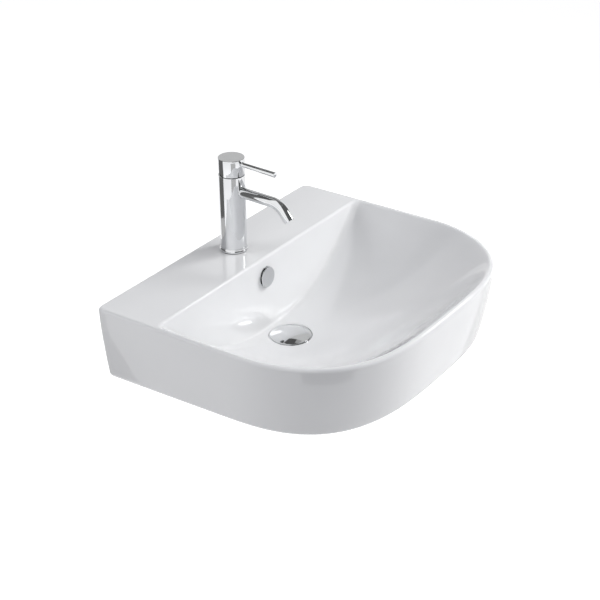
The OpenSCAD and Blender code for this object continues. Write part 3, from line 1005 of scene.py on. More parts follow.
@dataclass
class CeramicBasin:
    """The basin: bowl, ledge, skirt, waste boss and overflow duct in one skin."""

    width: float = 550.0
    skirt_back: float = 126.0
    skirt_front: float = 118.0
    side_lean: float = 14.0
    front_lean: float = 15.0
    skirt_t: float = 11.0
    back_t: float = 12.0
    ledge_t: float = 12.0
    bowl_t: float = 9.0
    bowl_inset: float = 6.0
    floor_r: float = 33.0
    top_round: float = 5.0
    foot_round: float = 7.0
    foot_edge: float = 1.5
    cove: float = 5.0
    rim_curve: float = 270.0
    foot_curve: float = 214.0
    rim_square: Pair = (3.75, 1.75)
    foot_square: Pair = (3.0, 3.0)
    plan_corner: float = 12.0
    inner_corner: float = 4.0
    bowl_corner: float = 12.0
    bowl_start: float = 0.16
    bowl_power: float = 2.3
    bowl_ease: float = 0.012
    boss_r: float = 42.0
    boss_z: float = -160.0
    boss_fillet: float = 5.0
    boss_edge: float = 2.5
    bore_r: float = 23.0
    recess_r: float = 35.4
    recess: float = 5.0
    duct_half: float = 22.0
    flow_half: float = 14.0
    pad_r: float = 21.0
    pad_face: float = 17.0
    tap_hole_r: float = 17.5
    table: RingTable = field(default_factory=lambda: RingTable(40, 10, 24, 140))

    def skirt(self, h: float, inset: float, rear: float, corner: float, lift: float) -> np.ndarray:
        """A contour of the skirt.

        Args:
            h: share of its height.
            inset: how far it is drawn in.
            rear: its distance from the wall.
            corner: radius of its rear corners.
            lift: how far it is lifted.

        Returns:
            The ring.
        """
        lean = max(0.0, 1 - h) ** 1.5
        return self.table.ring(
            self.width / 2 - self.side_lean * lean - inset, rear,
            PLACES.depth - self.front_lean * lean - inset, mix(self.foot_curve, self.rim_curve, h),
            mix(self.foot_square[0], self.rim_square[0], h),
            mix(self.foot_square[1], self.rim_square[1], h), corner,
            lift - self.skirt_back * (1 - h), lift - self.skirt_front * (1 - h))

    def bowl_z(self, t: np.ndarray) -> np.ndarray:
        """Height of the bowl's contour t below the rim.

        Args:
            t: the contour's share, from its edge at 0 to its floor at 1.

        Returns:
            The height.
        """
        half = self.width / 2 - self.bowl_inset
        u, ease = t * (half - self.floor_r) / half, self.bowl_ease
        return -PLACES.bowl_depth * (1 - (1 - u) ** self.bowl_power) * (1 + ease) * u / (u + ease)

    def bowl(self, t: Share, grow_by: Share = 0.0, drop: Share = 0.0,
             back: float = 0.0) -> np.ndarray:
        """A contour of the bowl, from its edge at 0 to its floor at 1.

        Args:
            t: its share, for each point.
            grow_by: how far it is let out.
            drop: how far it is lowered.
            back: how far its rear moves to the wall.

        Returns:
            The ring.
        """
        lip_r = 4.0
        t = np.asarray(t, dtype=float)
        half = self.width / 2 - self.bowl_inset
        z = self.bowl_z(t)
        lip = 1 - np.minimum(-z / lip_r, 1.0)
        floor_rear = PLACES.waste - self.floor_r - PLACES.wall_y(-PLACES.bowl_depth)
        rear = (PLACES.wall_y(z) - lip_r * (1 - np.sqrt(np.maximum(0.0, 1 - lip * lip)))
                + floor_rear * t ** 16)
        return self.table.ring(
            half - (half - self.floor_r) * t + grow_by, rear - back,
            mix(PLACES.depth - self.bowl_inset, PLACES.waste + self.floor_r, t) + grow_by,
            mix(self.rim_curve, PLACES.waste, t), mix(self.rim_square[0], 2.0, t),
            mix(self.rim_square[1], 2.0, t), mix(self.bowl_corner, 0.9 * self.floor_r, t ** 6),
            z - drop, z - drop)

    def under_bowl(self, t: Share) -> np.ndarray:
        """A contour of the bowl's underside, one wall thickness out from the bowl.

        Args:
            t: its share, for each point.

        Returns:
            The ring.
        """
        step = 0.01
        t = np.asarray(t, dtype=float)
        reach = self.width / 2 - self.bowl_inset - self.floor_r
        slope = (self.bowl_z(t) - self.bowl_z(t - step)) / (step * reach)
        down = self.bowl_t / np.sqrt(1 + slope * slope)
        return self.bowl(t, -slope * down, down, self.bowl_t)

    def shares_at(self, radius: float, family: Callable[[np.ndarray], np.ndarray]) -> np.ndarray:
        """The share at which each station of a family of contours is at a radius of the waste.

        Args:
            radius: the radius in mm.
            family: the method that makes a ring from shares.

        Returns:
            One share for each station.
        """
        low, high = np.full(self.table.count, 0.6), np.full(self.table.count, 1.0)
        for _ in range(40):
            middle = (low + high) / 2
            x, depth, _z = self.table.plan(family(middle))
            outside = np.hypot(x, depth - PLACES.waste) > radius
            low, high = np.where(outside, middle, low), np.where(outside, high, middle)
        return (low + high) / 2

    def rings(self) -> None:
        """Fills the table with every contour of the skin, in order."""
        t = self.table
        x, depth, _z = t.plan(self.bowl(np.ones(t.count)))
        t.angle = np.arctan2(PLACES.waste - depth, x)
        arc = [math.radians(a) for a in range(0, 91, 10)]
        edge = self.shares_at(self.recess_r + 1.0, self.bowl)
        lip_z = self.bowl_z(self.shares_at(self.recess_r, self.bowl))
        low = -PLACES.bowl_depth - self.recess
        rows = [t.circle(radius, height) for radius, height in (
            (self.bore_r, self.boss_z + 6), (self.bore_r, low - 0.6), (self.bore_r + 0.6, low),
            (self.recess_r - 0.8, low), (self.recess_r, low + 0.8), (self.recess_r, lip_z - 0.7),
            (self.recess_r + 0.25, lip_z - 0.2))]
        rows += [self.bowl(edge * (1 - i / 56) ** 2) for i in range(57)]
        for a in reversed(arc):
            inset = self.top_round * (1 - math.cos(a))
            rows.append(self.skirt(1, inset, inset, self.plan_corner,
                                   -self.top_round * (1 - math.sin(a))))
        foot = self.foot_round / self.skirt_back
        rows += [self.skirt(h, 0, 0, self.plan_corner, 0)
                 for h in np.linspace(0.93, foot + 0.05, 18)]
        for a in arc:
            inset = self.foot_round * (1 - math.cos(a))
            rows.append(self.skirt(foot * (1 - math.sin(a)), inset, inset / 4, self.plan_corner, 0))
        for a in arc[::3]:
            inward, up = self.foot_edge * (1 - math.sin(a)), self.foot_edge * (1 - math.cos(a))
            rows.append(self.skirt(0, self.skirt_t - inward, self.back_t - inward,
                                   self.inner_corner, up))
        rows += [self.skirt(h, self.skirt_t, self.back_t, self.inner_corner, 0)
                 for h in np.linspace(0.08, 0.82, 10)]
        t.rings = rows + self.ledge_underside() + self.underside(arc)

    def ledge_underside(self) -> list[np.ndarray]:
        """The rounded corner under the rim and the flat underside of the ledge.

        Returns:
            The rings.
        """
        half, front = self.width / 2 - self.skirt_t, PLACES.depth - self.skirt_t
        rows: list[np.ndarray] = []
        for a in range(0, 91, 18):
            inset = self.cove * (1 - math.cos(math.radians(a)))
            z = -self.ledge_t - self.cove * (1 - math.sin(math.radians(a)))
            rows.append(self.table.ring(
                half - 0.4 - inset, self.back_t + inset, front - 0.4 - inset, self.rim_curve,
                *self.rim_square, self.inner_corner + inset, z, z))
        inner = self.table.ring(
            half - 6.5, PLACES.ledge - self.bowl_t, front - 6.5, self.rim_curve,
            *self.rim_square, self.bowl_corner, -self.ledge_t, -self.ledge_t)
        first = self.under_bowl(np.full(self.table.count, self.bowl_start))
        return rows + [mix(rows[-1], inner, 0.5)] + [mix(inner, first, k / 6) for k in range(6)]

    def underside(self, arc: Sequence[float]) -> list[np.ndarray]:
        """The bowl's underside and the boss round the waste.

        Args:
            arc: angles of a quarter turn.

        Returns:
            The rings.
        """
        t, fillet, edge, low = self.table, self.boss_fillet, self.boss_edge, self.boss_z
        last = self.shares_at(self.boss_r + fillet, self.under_bowl)
        rows = [self.under_bowl(mix(self.bowl_start, last, i / 24)) for i in range(25)]
        top = t.plan(rows[-1])[2]
        rows += [t.circle(self.boss_r + fillet * (1 - math.sin(a)),
                          top - fillet * (1 - math.cos(a))) for a in arc[1::2]]
        rows += [t.circle(self.boss_r - edge * (1 - math.cos(a)), low + edge * (1 - math.sin(a)))
                 for a in arc[::2]]
        return rows + [t.circle(self.boss_r - edge, low), t.circle(self.bore_r + 1, low),
                       t.circle(self.bore_r, low + 1)]

    def fittings(self, shell: Piece) -> None:
        """Adds the duct and the pads, and cuts the holes.

        Args:
            shell: the skin.
        """
        home, rim, low = Matrix.Identity(4), PLACES.rim, PLACES.rim + self.boss_z
        back = PLACES.wall_y(0) - self.bowl_t - 8.0
        duct = slab("duct", (-self.duct_half, -PLACES.ledge, low),
                    (self.duct_half, -back, rim - self.ledge_t / 2), home, 3.0)
        combine(duct, slab("run", (-self.duct_half, -PLACES.waste, low),
                           (self.duct_half, -back, rim - PLACES.bowl_depth - 4.5), home, 3.0),
                Cut.ADD)
        combine(shell, duct, Cut.ADD)
        for place in PLACES.at_wall_holes():
            combine(shell, turned("pad", [
                (0, self.back_t / 2), (self.pad_r, self.back_t / 2),
                (self.pad_r, self.pad_face, 2.5), (0, self.pad_face)], place, 64), Cut.ADD)
            combine(shell, rod("hole", 11.0, -1, self.pad_face + 1, place, 64))
        channel, floor = back + 4.0, low + 4
        flow = slab("flow", (-self.flow_half, -channel - 8, floor),
                    (self.flow_half, -channel, rim + PLACES.overflow), home)
        combine(flow, slab("run", (-self.flow_half, -PLACES.waste, floor),
                           (self.flow_half, -channel, floor + 8), home), Cut.ADD)
        combine(flow, rod("hole", 11.5, -13, 4, PLACES.at_overflow(), 64), Cut.ADD)
        combine(shell, flow)
        combine(shell, rod("hole", self.tap_hole_r, -self.ledge_t - 1, 1, PLACES.at_tap()))

    def build(self) -> None:
        """Makes the ceramic."""
        self.rings()
        shell = self.table.mesh("ceramic_basin")
        grow(shell, contour_tree(), GLAZE, Body_depth=PLACES.depth, Waste_distance=PLACES.waste,
             Unit=MM)
        shell.data.transform(shift(0, 0, PLACES.rim * MM))
        face_out(shell)
        self.fittings(shell)
        face_out(shell, 30.0)
        keep(shell, GLAZE, "basin_body")


# The fittings

@dataclass
class WallFixing:
    """Bush, washer and nut at each wall hole."""

    bush_r: Pair = (5.25, 10.95)
    pad_face: float = 17.0
    flange_r: float = 16.0
    flange_t: float = 3.0
    washer_r: Pair = (5.5, 14.0)
    washer_t: float = 2.0
    nut_flats: float = 17.0
    nut_bore: float = 5.0
    nut_t: float = 8.0

    def build(self) -> None:
        """Makes the three kinds of piece at both holes."""
        face, low = self.pad_face, self.pad_face + self.flange_t
        top, flange = low + self.washer_t, self.flange_r
        (bore, hole), (inner, outer) = self.bush_r, self.washer_r
        sets = [(
            turned("bush", [(bore, 0), (hole, 0, 0.5), (hole, face), (flange, face, 0.5),
                            (flange, low, 0.8), (bore, low, 0.3)], place),
            turned("washer", [(inner, low), (outer, low, 0.3), (outer, top, 0.6),
                              (inner, top, 0.3)], place),
            nut("nut", self.nut_flats, self.nut_bore, top, top + self.nut_t, place))
            for place in PLACES.at_wall_holes()]
        for parts, name, finish in zip(zip(*sets), ("bushes", "washers", "nuts"),
                                       (NYLON, STEEL, STEEL)):
            keep(joined("wall_" + name, parts), finish, "fixing_" + name)


@dataclass
class OverflowCover:
    """Ring, disc and stem of the overflow."""

    ring_r: float = 17.4
    ring_t: float = 1.6
    bore_r: float = 9.4
    neck: float = 8.0
    neck_r: float = 11.45
    disc_r: float = 16.6
    disc_t: float = 1.6
    stem_r: float = 2.5
    gap: float = 2.4

    def build(self) -> None:
        """Makes the cover."""
        place, bore, foot = PLACES.at_overflow(), self.bore_r, -self.neck
        ring = turned("overflow_rim", [
            (bore, foot), (self.neck_r, foot), (self.neck_r, 0), (self.ring_r, 0, 0.2),
            (self.ring_r, self.ring_t, 1.0), (bore, self.ring_t, 0.9)], place, 128)
        combine(ring, slab("bar", (-bore - 0.4, -2, foot), (bore + 0.4, 2, 3 + foot), place, 0.3),
                Cut.ADD)
        combine(ring, rod("hole", self.stem_r + 0.05, foot - 1, self.ring_t, place, 48))
        face_out(ring)
        keep(ring, CHROME, "overflow_ring")
        low = self.ring_t + self.gap
        top = low + self.disc_t
        keep(turned("overflow_plate", [
            (0, low), (self.disc_r, low, 0.5), (self.disc_r, top - 0.25, 0.7),
            (self.disc_r * 0.6, top - 0.05, 30.0), (0, top)], place, 128), CHROME,
            "overflow_disc")
        keep(turned("overflow_pin", [
            (0, foot), (self.stem_r, foot, 0.3), (self.stem_r, low), (0, low)], place, 64),
            STEEL, "overflow_stem")


@dataclass
class WasteFitting:
    """The waste's body, its seals, washer and nut."""

    boss_low: float = -33.5
    flange_r: float = 34.8
    tail_r: float = 20.95
    drain_r: float = 18.5
    neck_r: float = 22.4
    pitch: float = 2.309
    row: float = 0.29
    flange_z: Pair = (-3.5, 0.6)
    hub_r: Pair = (8.0, 11.0)
    hub_z: Pair = (-24.0, -12.0)
    seal_bore: float = 21.05
    seal_r: float = 33.0
    washer_r: float = 32.0
    nut_bore: float = 21.0
    nut_flange_r: float = 29.5
    nut_flats: float = 52.6

    @property
    def nut_low(self) -> float:
        """Height of the nut's underside."""
        return self.boss_low - 17

    def body(self) -> Piece:
        """The flanged body with its threaded tail.

        Returns:
            The body.
        """
        tail_low, groove = self.nut_low - 24, self.nut_low - 2
        neck_low, lip = self.boss_low + 4, self.flange_r - 3.8
        root, (under, over) = self.tail_r - 0.9, self.flange_z
        tail = [(self.tail_r, z) for z in np.arange(tail_low + 0.8, groove, self.row)]
        above = [(self.tail_r, z) for z in np.arange(self.nut_low, neck_low, self.row)]
        made = turned("waste", [
            (self.drain_r, tail_low, 0.3), (self.tail_r - 0.8, tail_low), *tail,
            (self.tail_r, groove), (root, groove), (root, self.nut_low), *above,
            (self.tail_r, neck_low), (self.neck_r, neck_low, 0.3), (self.neck_r, under),
            (self.flange_r, under, 0.2), (self.flange_r, over, 0.9), (lip, over, 0.6),
            (lip - 1.2, -over, 0.8), (21, -2.2, 2.0), (self.drain_r, -4.5, 0.5)])
        grow(made, thread_tree(), CHROME, Pitch=self.pitch, Depth=0.95, Low=tail_low + 0.9,
             High=groove - 0.6, Reach=20.0)
        seat(made, PLACES.at_waste())
        return made

    def build(self) -> None:
        """Makes the waste."""
        place, (bore, rim), (foot, top) = PLACES.at_waste(), self.hub_r, self.hub_z
        made = self.body()
        hub = turned("hub", [(bore, foot, 0.4), (rim, foot, 0.5), (rim, top, 0.5),
                             (bore, top, 0.4)], place, 64)
        for angle in (30, 150, 270):
            combine(hub, slab("spoke", (rim - 1, -1.5, foot + 3), (self.drain_r + 0.6, 1.5, top),
                              place @ turn(angle, "Z"), 0.4), Cut.ADD)
        combine(made, hub, Cut.ADD)
        for angle in (90, 210, 330):
            combine(made, slab("window", (self.drain_r - 1.5, -8, self.boss_low + 5),
                               (self.neck_r + 1, 8, self.boss_low + 12),
                               place @ turn(angle, "Z"), 0.8))
        combine(made, rod("bore", bore, foot - 1, top + 1, place, 64))
        face_out(made, 34.0)
        keep(made, CHROME, "waste_body")
        low, mid = self.boss_low, self.boss_low - 5
        keep(turned("waste_cone_seal", [
            (self.seal_bore, mid), (self.seal_r, mid, 0.8), (self.seal_r, low - 2, 0.8),
            (30, low, 0.4), (self.seal_bore, low)], place), RUBBER, "waste_lower_seal")
        keep(turned("waste_slide_washer", [
            (self.seal_bore, low - 7), (self.washer_r, low - 7, 0.5), (self.washer_r, mid, 0.5),
            (self.seal_bore, mid)], place), NYLON, "waste_slip_washer")
        self.backnut(place)

    def backnut(self, place: Matrix) -> None:
        """Makes the eight-sided nut with its flange.

        Args:
            place: the waste's place.
        """
        bore, flange, top = self.nut_bore, self.nut_flange_r, self.boss_low - 7
        made = turned("waste_clamp_nut", [
            (bore, top - 3), (flange, top - 3, 0.6), (flange, top, 0.6), (bore, top, 0.4)], place)
        combine(made, nut("head", self.nut_flats, bore, self.nut_low, top - 2.9, place, 8),
                Cut.ADD)
        face_out(made, 25.0)
        keep(made, BRASS, "waste_backnut")


@dataclass
class PushPlug:
    """The domed plug, its seal and its stem."""

    cap_r: float = 33.2
    low: float = 0.9
    top: float = 7.2
    hub_r: float = 6.5
    stem_r: float = 4.0
    stem_low: float = -40.0

    def build(self) -> None:
        """Makes the plug."""
        place, low, foot = PLACES.at_waste(), self.low, self.low + 0.02
        edge, bore = self.low + 1.3, self.stem_r + 0.05
        rise = self.top - edge
        dome = ((self.cap_r - 0.6) ** 2 + rise * rise) / (2 * rise)
        arc = [(r, self.top - dome + math.sqrt(dome * dome - r * r))
               for r in np.linspace(self.cap_r - 0.9, 0, 16)]
        keep(turned("plug_dome", [
            (0, foot), (bore, foot), (bore, -4), (self.hub_r, -4, 0.6), (self.hub_r, low),
            (self.cap_r, low, 0.4), (self.cap_r, edge, 0.9), *arc], place, 128),
            CHROME, "plug_cap", Body.PLUG)
        seal_r, seal_bore = self.cap_r - 4, self.hub_r + 0.1
        keep(turned("plug_lip_seal", [
            (seal_bore, low - 2, 0.3), (seal_r - 3.7, low - 2, 0.5),
            (seal_r - 0.8, low - 1.2, 0.5), (seal_r, low), (seal_bore, low)], place),
            RUBBER, "plug_seal", Body.PLUG)
        keep(turned("plug_spindle", [
            (0, self.stem_low), (self.stem_r, self.stem_low, 1.0), (self.stem_r, low),
            (0, low)], place, 64), BRASS, "plug_stem", Body.PLUG)


@dataclass
class MixerTap:
    """The tap's body, base and spout."""

    radius: float = 21.3
    base_r: float = 23.2
    base_bore: float = 18.45
    base_top: float = 8.2
    seal_r: Pair = (19.2, 22.4)
    body_top: float = 130.3
    cavity_r: float = 16.0
    cavity_low: float = 124.5
    seat_r: float = 12.55
    seat_low: float = 113.0
    spigot_r: float = 18.4
    inlet_spot: Pair = (8.0, -4.0)
    inlet_r: Pair = (4.5, 3.2)
    inlet_z: Pair = (13.2, 58.0)
    stud_y: float = 12.8
    stud_r: float = 3.0
    stud_top: float = 15.2
    glide: Triple = (16.3, 19.5, 131.3)
    spout_z: float = 103.6
    spout_r: float = 8.8
    spout_bore: float = 6.8
    spout_run: float = 77.2
    spout_droop: float = 1.6
    bend_r: float = 30.0
    mouth_angle: float = 52.0
    mouth_run: float = 16.5
    socket_r: float = 7.6
    socket_run: Pair = (14.0, 19.0)
    way_r: float = 5.8
    shoulder: float = 18.3
    cup_r: Pair = (6.2, 6.75)
    cell: float = 0.8
    cell_wall: float = 0.14
    cell_height: float = 1.3
    comb_r: float = 5.5

    @property
    def bend(self) -> float:
        """The angle of the spout's bend, in radians."""
        return math.radians(self.mouth_angle - self.spout_droop)

    def at_spout(self) -> Matrix:
        """The spout's straight axis."""
        return PLACES.at_tap() @ shift(0, 0, self.spout_z) @ turn(90 + self.spout_droop, "X")

    def at_mouth(self) -> Matrix:
        """The end of the spout's bend, with local Z out of the mouth."""
        return (self.at_spout() @ shift(0, -self.bend_r, self.spout_run)
                @ Matrix.Rotation(self.bend, 4, "X") @ shift(0, self.bend_r, 0))

    def base(self) -> None:
        """Makes the base ring and the seal under it."""
        place, (inner, outer) = PLACES.at_tap(), self.seal_r
        flare = [(self.radius + (self.base_r - self.radius) * (1 - math.sin(a)),
                  3 + (self.base_top - 3) * (1 - math.cos(a)))
                 for a in np.linspace(0, math.pi / 2, 12)]
        keep(turned("tap_foot", [(self.base_bore, 1), (self.base_r, 1, 0.5), *flare,
                                 (self.base_bore, self.base_top)], place, 128),
             CHROME, "tap_base_ring")
        keep(turned("tap_foot_seal", [(inner, 0), (outer, 0, 0.2), (outer, 1, 0.2), (inner, 1)],
                    place), RUBBER, "tap_base_seal")

    def column(self) -> None:
        """Makes the body with its seats, inlets and the spout's hole."""
        place, play = PLACES.at_tap(), 0.05
        made = turned("tap_column", [
            (0, 1.2), (self.spigot_r, 1.2, 0.3), (self.spigot_r, self.base_top),
            (self.radius, self.base_top, 0.15), (self.radius, self.body_top, 0.35),
            (self.cavity_r, self.body_top, 0.2), (self.cavity_r, self.cavity_low),
            (self.seat_r, self.cavity_low, 0.3), (self.seat_r, self.seat_low),
            (0, self.seat_low)], place, 160)
        (wide, narrow), (step, top), (x, y) = self.inlet_r, self.inlet_z, self.inlet_spot
        for side in (-1, 1):
            combine(made, turned("inlet", [
                (0, 0.2), (wide + 0.4, 0.2), (wide + 0.4, 1.2), (wide, 1.6), (wide, step),
                (narrow, step), (narrow, top), (0, top)], place @ shift(side * x, y, 0), 48))
        combine(made, rod("stud_hole", self.stud_r, 0, self.stud_top,
                          place @ shift(0, self.stud_y, 0), 48))
        way, fit, joint = self.way_r, self.socket_r + play, self.spout_r + play
        start, shoulder, outside = self.socket_run[0], self.shoulder, 23
        combine(made, turned("seat", [
            (0, 2), (way, 2), (way, start), (fit, start), (fit, shoulder), (joint, shoulder),
            (joint, outside), (0, outside)], self.at_spout()))
        face_out(made, 30.0)
        keep(made, CHROME, "tap_body")

    def spout(self) -> None:
        """Makes the bent spout by sweeping its path."""
        corner = self.spout_run + self.bend_r * math.tan(self.bend / 2)
        run = self.bend_r * math.tan(self.bend / 2) + self.mouth_run
        spots = [(0, 0, self.radius - 3), (0, 0, corner),
                 (0, -run * math.sin(self.bend), corner + run * math.cos(self.bend))]
        made = new_object("tap_spout", spots, [], [(0, 1), (1, 2)])
        seat(made, self.at_spout())
        grow(made, tube_tree(), CHROME, Bend_radius=self.bend_r * MM,
             Tube_radius=self.spout_r * MM)
        face_out(made)
        wall = made.modifiers.new("wall", "SOLIDIFY")
        wall.thickness = (self.spout_r - self.spout_bore) * MM
        wall.offset = -1.0
        settle(made)
        soften(made, 0.45, 3, 60.0)
        bore, rim, (start, end) = self.spout_bore, self.socket_r, self.socket_run
        spigot = turned("spigot", [(bore, start), (rim, start, 0.3), (rim, end), (bore, end)],
                        self.at_spout(), 80)
        keep(joined("tap_spout_tube", [made, spigot]), CHROME, "spout")

    def aerator(self) -> None:
        """Makes the aerator's housing and its comb of cells."""
        place, (inner, outer) = self.at_mouth(), self.cup_r
        low, top = self.mouth_run - 9, self.mouth_run - 0.6
        keep(turned("aerator_cup", [(inner, low), (outer, low), (outer, top, 0.3),
                                    (inner, top, 0.2)], place, 72), NYLON, "aerator_housing")
        rows = range(-6, 7)
        spots = [(self.cell * 1.5 * i, self.cell * math.sqrt(3) * (j + (i % 2) / 2),
                  self.mouth_run - 2.3) for i in rows for j in rows]
        spots = [p for p in spots if math.hypot(p[0], p[1]) < self.comb_r]
        comb = new_object("aerator_comb", spots, [])
        grow(comb, comb_tree(), STEEL, Cell_radius=self.cell, Wall=self.cell_wall,
             Height=self.cell_height)
        seat(comb, place)
        face_out(comb, 20.0)
        keep(comb, STEEL, "aerator_screen")

    def build(self) -> None:
        """Makes the tap."""
        self.base()
        self.column()
        self.spout()
        self.aerator()
        inner, outer, top = self.glide
        keep(turned("tap_glide", [(inner, self.body_top), (outer, self.body_top, 0.2),
                                  (outer, top, 0.2), (inner, top)], PLACES.at_tap()),
             RUBBER, "glide_ring")


@dataclass
class TapHandle:
    """The handle head and its lever."""

    radius: float = 21.3
    low: float = 131.6
    top: float = 159.1
    cavity_r: float = 17.2
    cavity_top: float = 145.0
    wedge: float = 26.0
    socket_half: float = 3.05
    socket_z: Pair = (144.0, 150.0)
    lever_z: float = 151.9
    lever_droop: float = 2.3
    lever_reach: float = 84.5
    root_r: float = 3.7
    tip_r: float = 4.4
    screw_z: float = 148.6
    button: Triple = (3.15, 19.1, 21.0)

    def at_lever(self) -> Matrix:
        """The lever's axis."""
        return PLACES.at_tap() @ shift(0, 0, self.lever_z) @ turn(90 + self.lever_droop, "X")

    def head(self) -> None:
        """Makes the head, cut at a slant below its rear, and the button at its rear."""
        place, half = PLACES.at_tap(), self.socket_half
        made = turned("handle_cap", [
            (0, self.cavity_top), (self.cavity_r, self.cavity_top, 0.5),
            (self.cavity_r, self.low, 0.2), (self.radius, self.low, 0.3),
            (self.radius, self.top, 0.9), (0, self.top)], place, 160)
        slant = place @ shift(0, 0, self.low) @ turn(self.wedge, "X")
        combine(made, slab("wedge", (-23, 0, -20), (23, 30, 0), slant))
        low, high = self.socket_z
        combine(made, slab("socket", (-half, -half, low), (half, half, high), place))
        side = place @ shift(0, 0, self.screw_z) @ turn(-90, "X")
        button_r, low, high = self.button
        combine(made, turned("screw_hole", [(0, 0), (2.5, 0), (2.5, low), (3.2, low), (3.2, 22),
                                            (0, 22)], side, 64))
        combine(made, rod("lever_hole", self.root_r + 0.02, 9, 22, self.at_lever(), 64))
        face_out(made, 30.0)
        keep(made, CHROME, "handle_head", Body.LIFT)
        keep(turned("handle_button", [(0, low), (button_r, low), (button_r, high, 0.4),
                                      (0, high)], side, 64), CHROME, "grub_cover", Body.LIFT)

    def build(self) -> None:
        """Makes the handle."""
        self.head()
        reach, root, tip = self.lever_reach, self.root_r, self.tip_r
        keep(turned("handle_lever", [
            (0, 9), (root, 9, 0.3), (root, 22.3), (tip, reach - 1.4, 8.0), (tip, reach, 1.3),
            (0, reach)], self.at_lever()), CHROME, "lever_rod", Body.LIFT)


@dataclass
class DeckFixing:
    """What clamps the tap under the ledge."""

    ledge_t: float = 12.0
    plate_r: float = 25.0
    mouth_r: float = 15.0
    pad_t: float = 3.0
    plate_t: float = 2.5
    stud_y: float = 12.8
    stud_r: float = 3.0
    stud_low: float = -58.0
    stud_top: float = 15.2
    thread: Pair = (-57.3, 12.0)
    thread_row: float = 0.14
    nut_t: float = 16.0

    def shoe(self, name: str, low: float, high: float, edge: float) -> Piece:
        """A plate open at the front.

        Args:
            name: its name.
            low: its lower face.
            high: its upper face.
            edge: rounding of its edges.

        Returns:
            The plate.
        """
        place, mouth = PLACES.at_tap(), self.mouth_r
        made = rod(name, self.plate_r, low, high, place)
        tool = rod("bore", mouth, low - 1, high + 1, place @ shift(0, -6, 0))
        combine(tool, slab("mouth", (-mouth, -26, low - 1), (mouth, -6, high + 1), place), Cut.ADD)
        combine(made, tool)
        combine(made, rod("hole", self.stud_r + 0.2, low - 1, high + 1,
                          place @ shift(0, self.stud_y, 0), 48))
        soften(made, edge, 2, 50.0)
        face_out(made, 30.0)
        return made

    def build(self) -> None:
        """Makes the stud, gasket, washer and nut."""
        under = -self.ledge_t
        middle = under - self.pad_t
        low = middle - self.plate_t
        keep(self.shoe("deck_pad", middle, under, 0.4), RUBBER, "deck_gasket")
        keep(self.shoe("deck_plate", low, middle, 0.3), STEEL, "horseshoe_washer")
        spot, r = PLACES.at_tap() @ shift(0, self.stud_y, 0), self.stud_r
        rows = [(r, z) for z in np.arange(*self.thread, self.thread_row)]
        stud = turned("deck_stud", [(0, self.stud_low), (r - 0.6, self.stud_low), *rows,
                                    (r, self.stud_top), (0, self.stud_top)], None, 32)
        grow(stud, thread_tree(), STEEL, Pitch=1.0, Depth=0.5, Low=self.thread[0] - 0.1, High=0.0,
             Reach=r - 0.5)
        seat(stud, spot)
        face_out(stud, 50.0)
        keep(stud, STEEL, "fixing_stud")
        keep(nut("deck_long_nut", 10.0, r, low - self.nut_t, low, spot), BRASS, "deck_nut")


# The studio

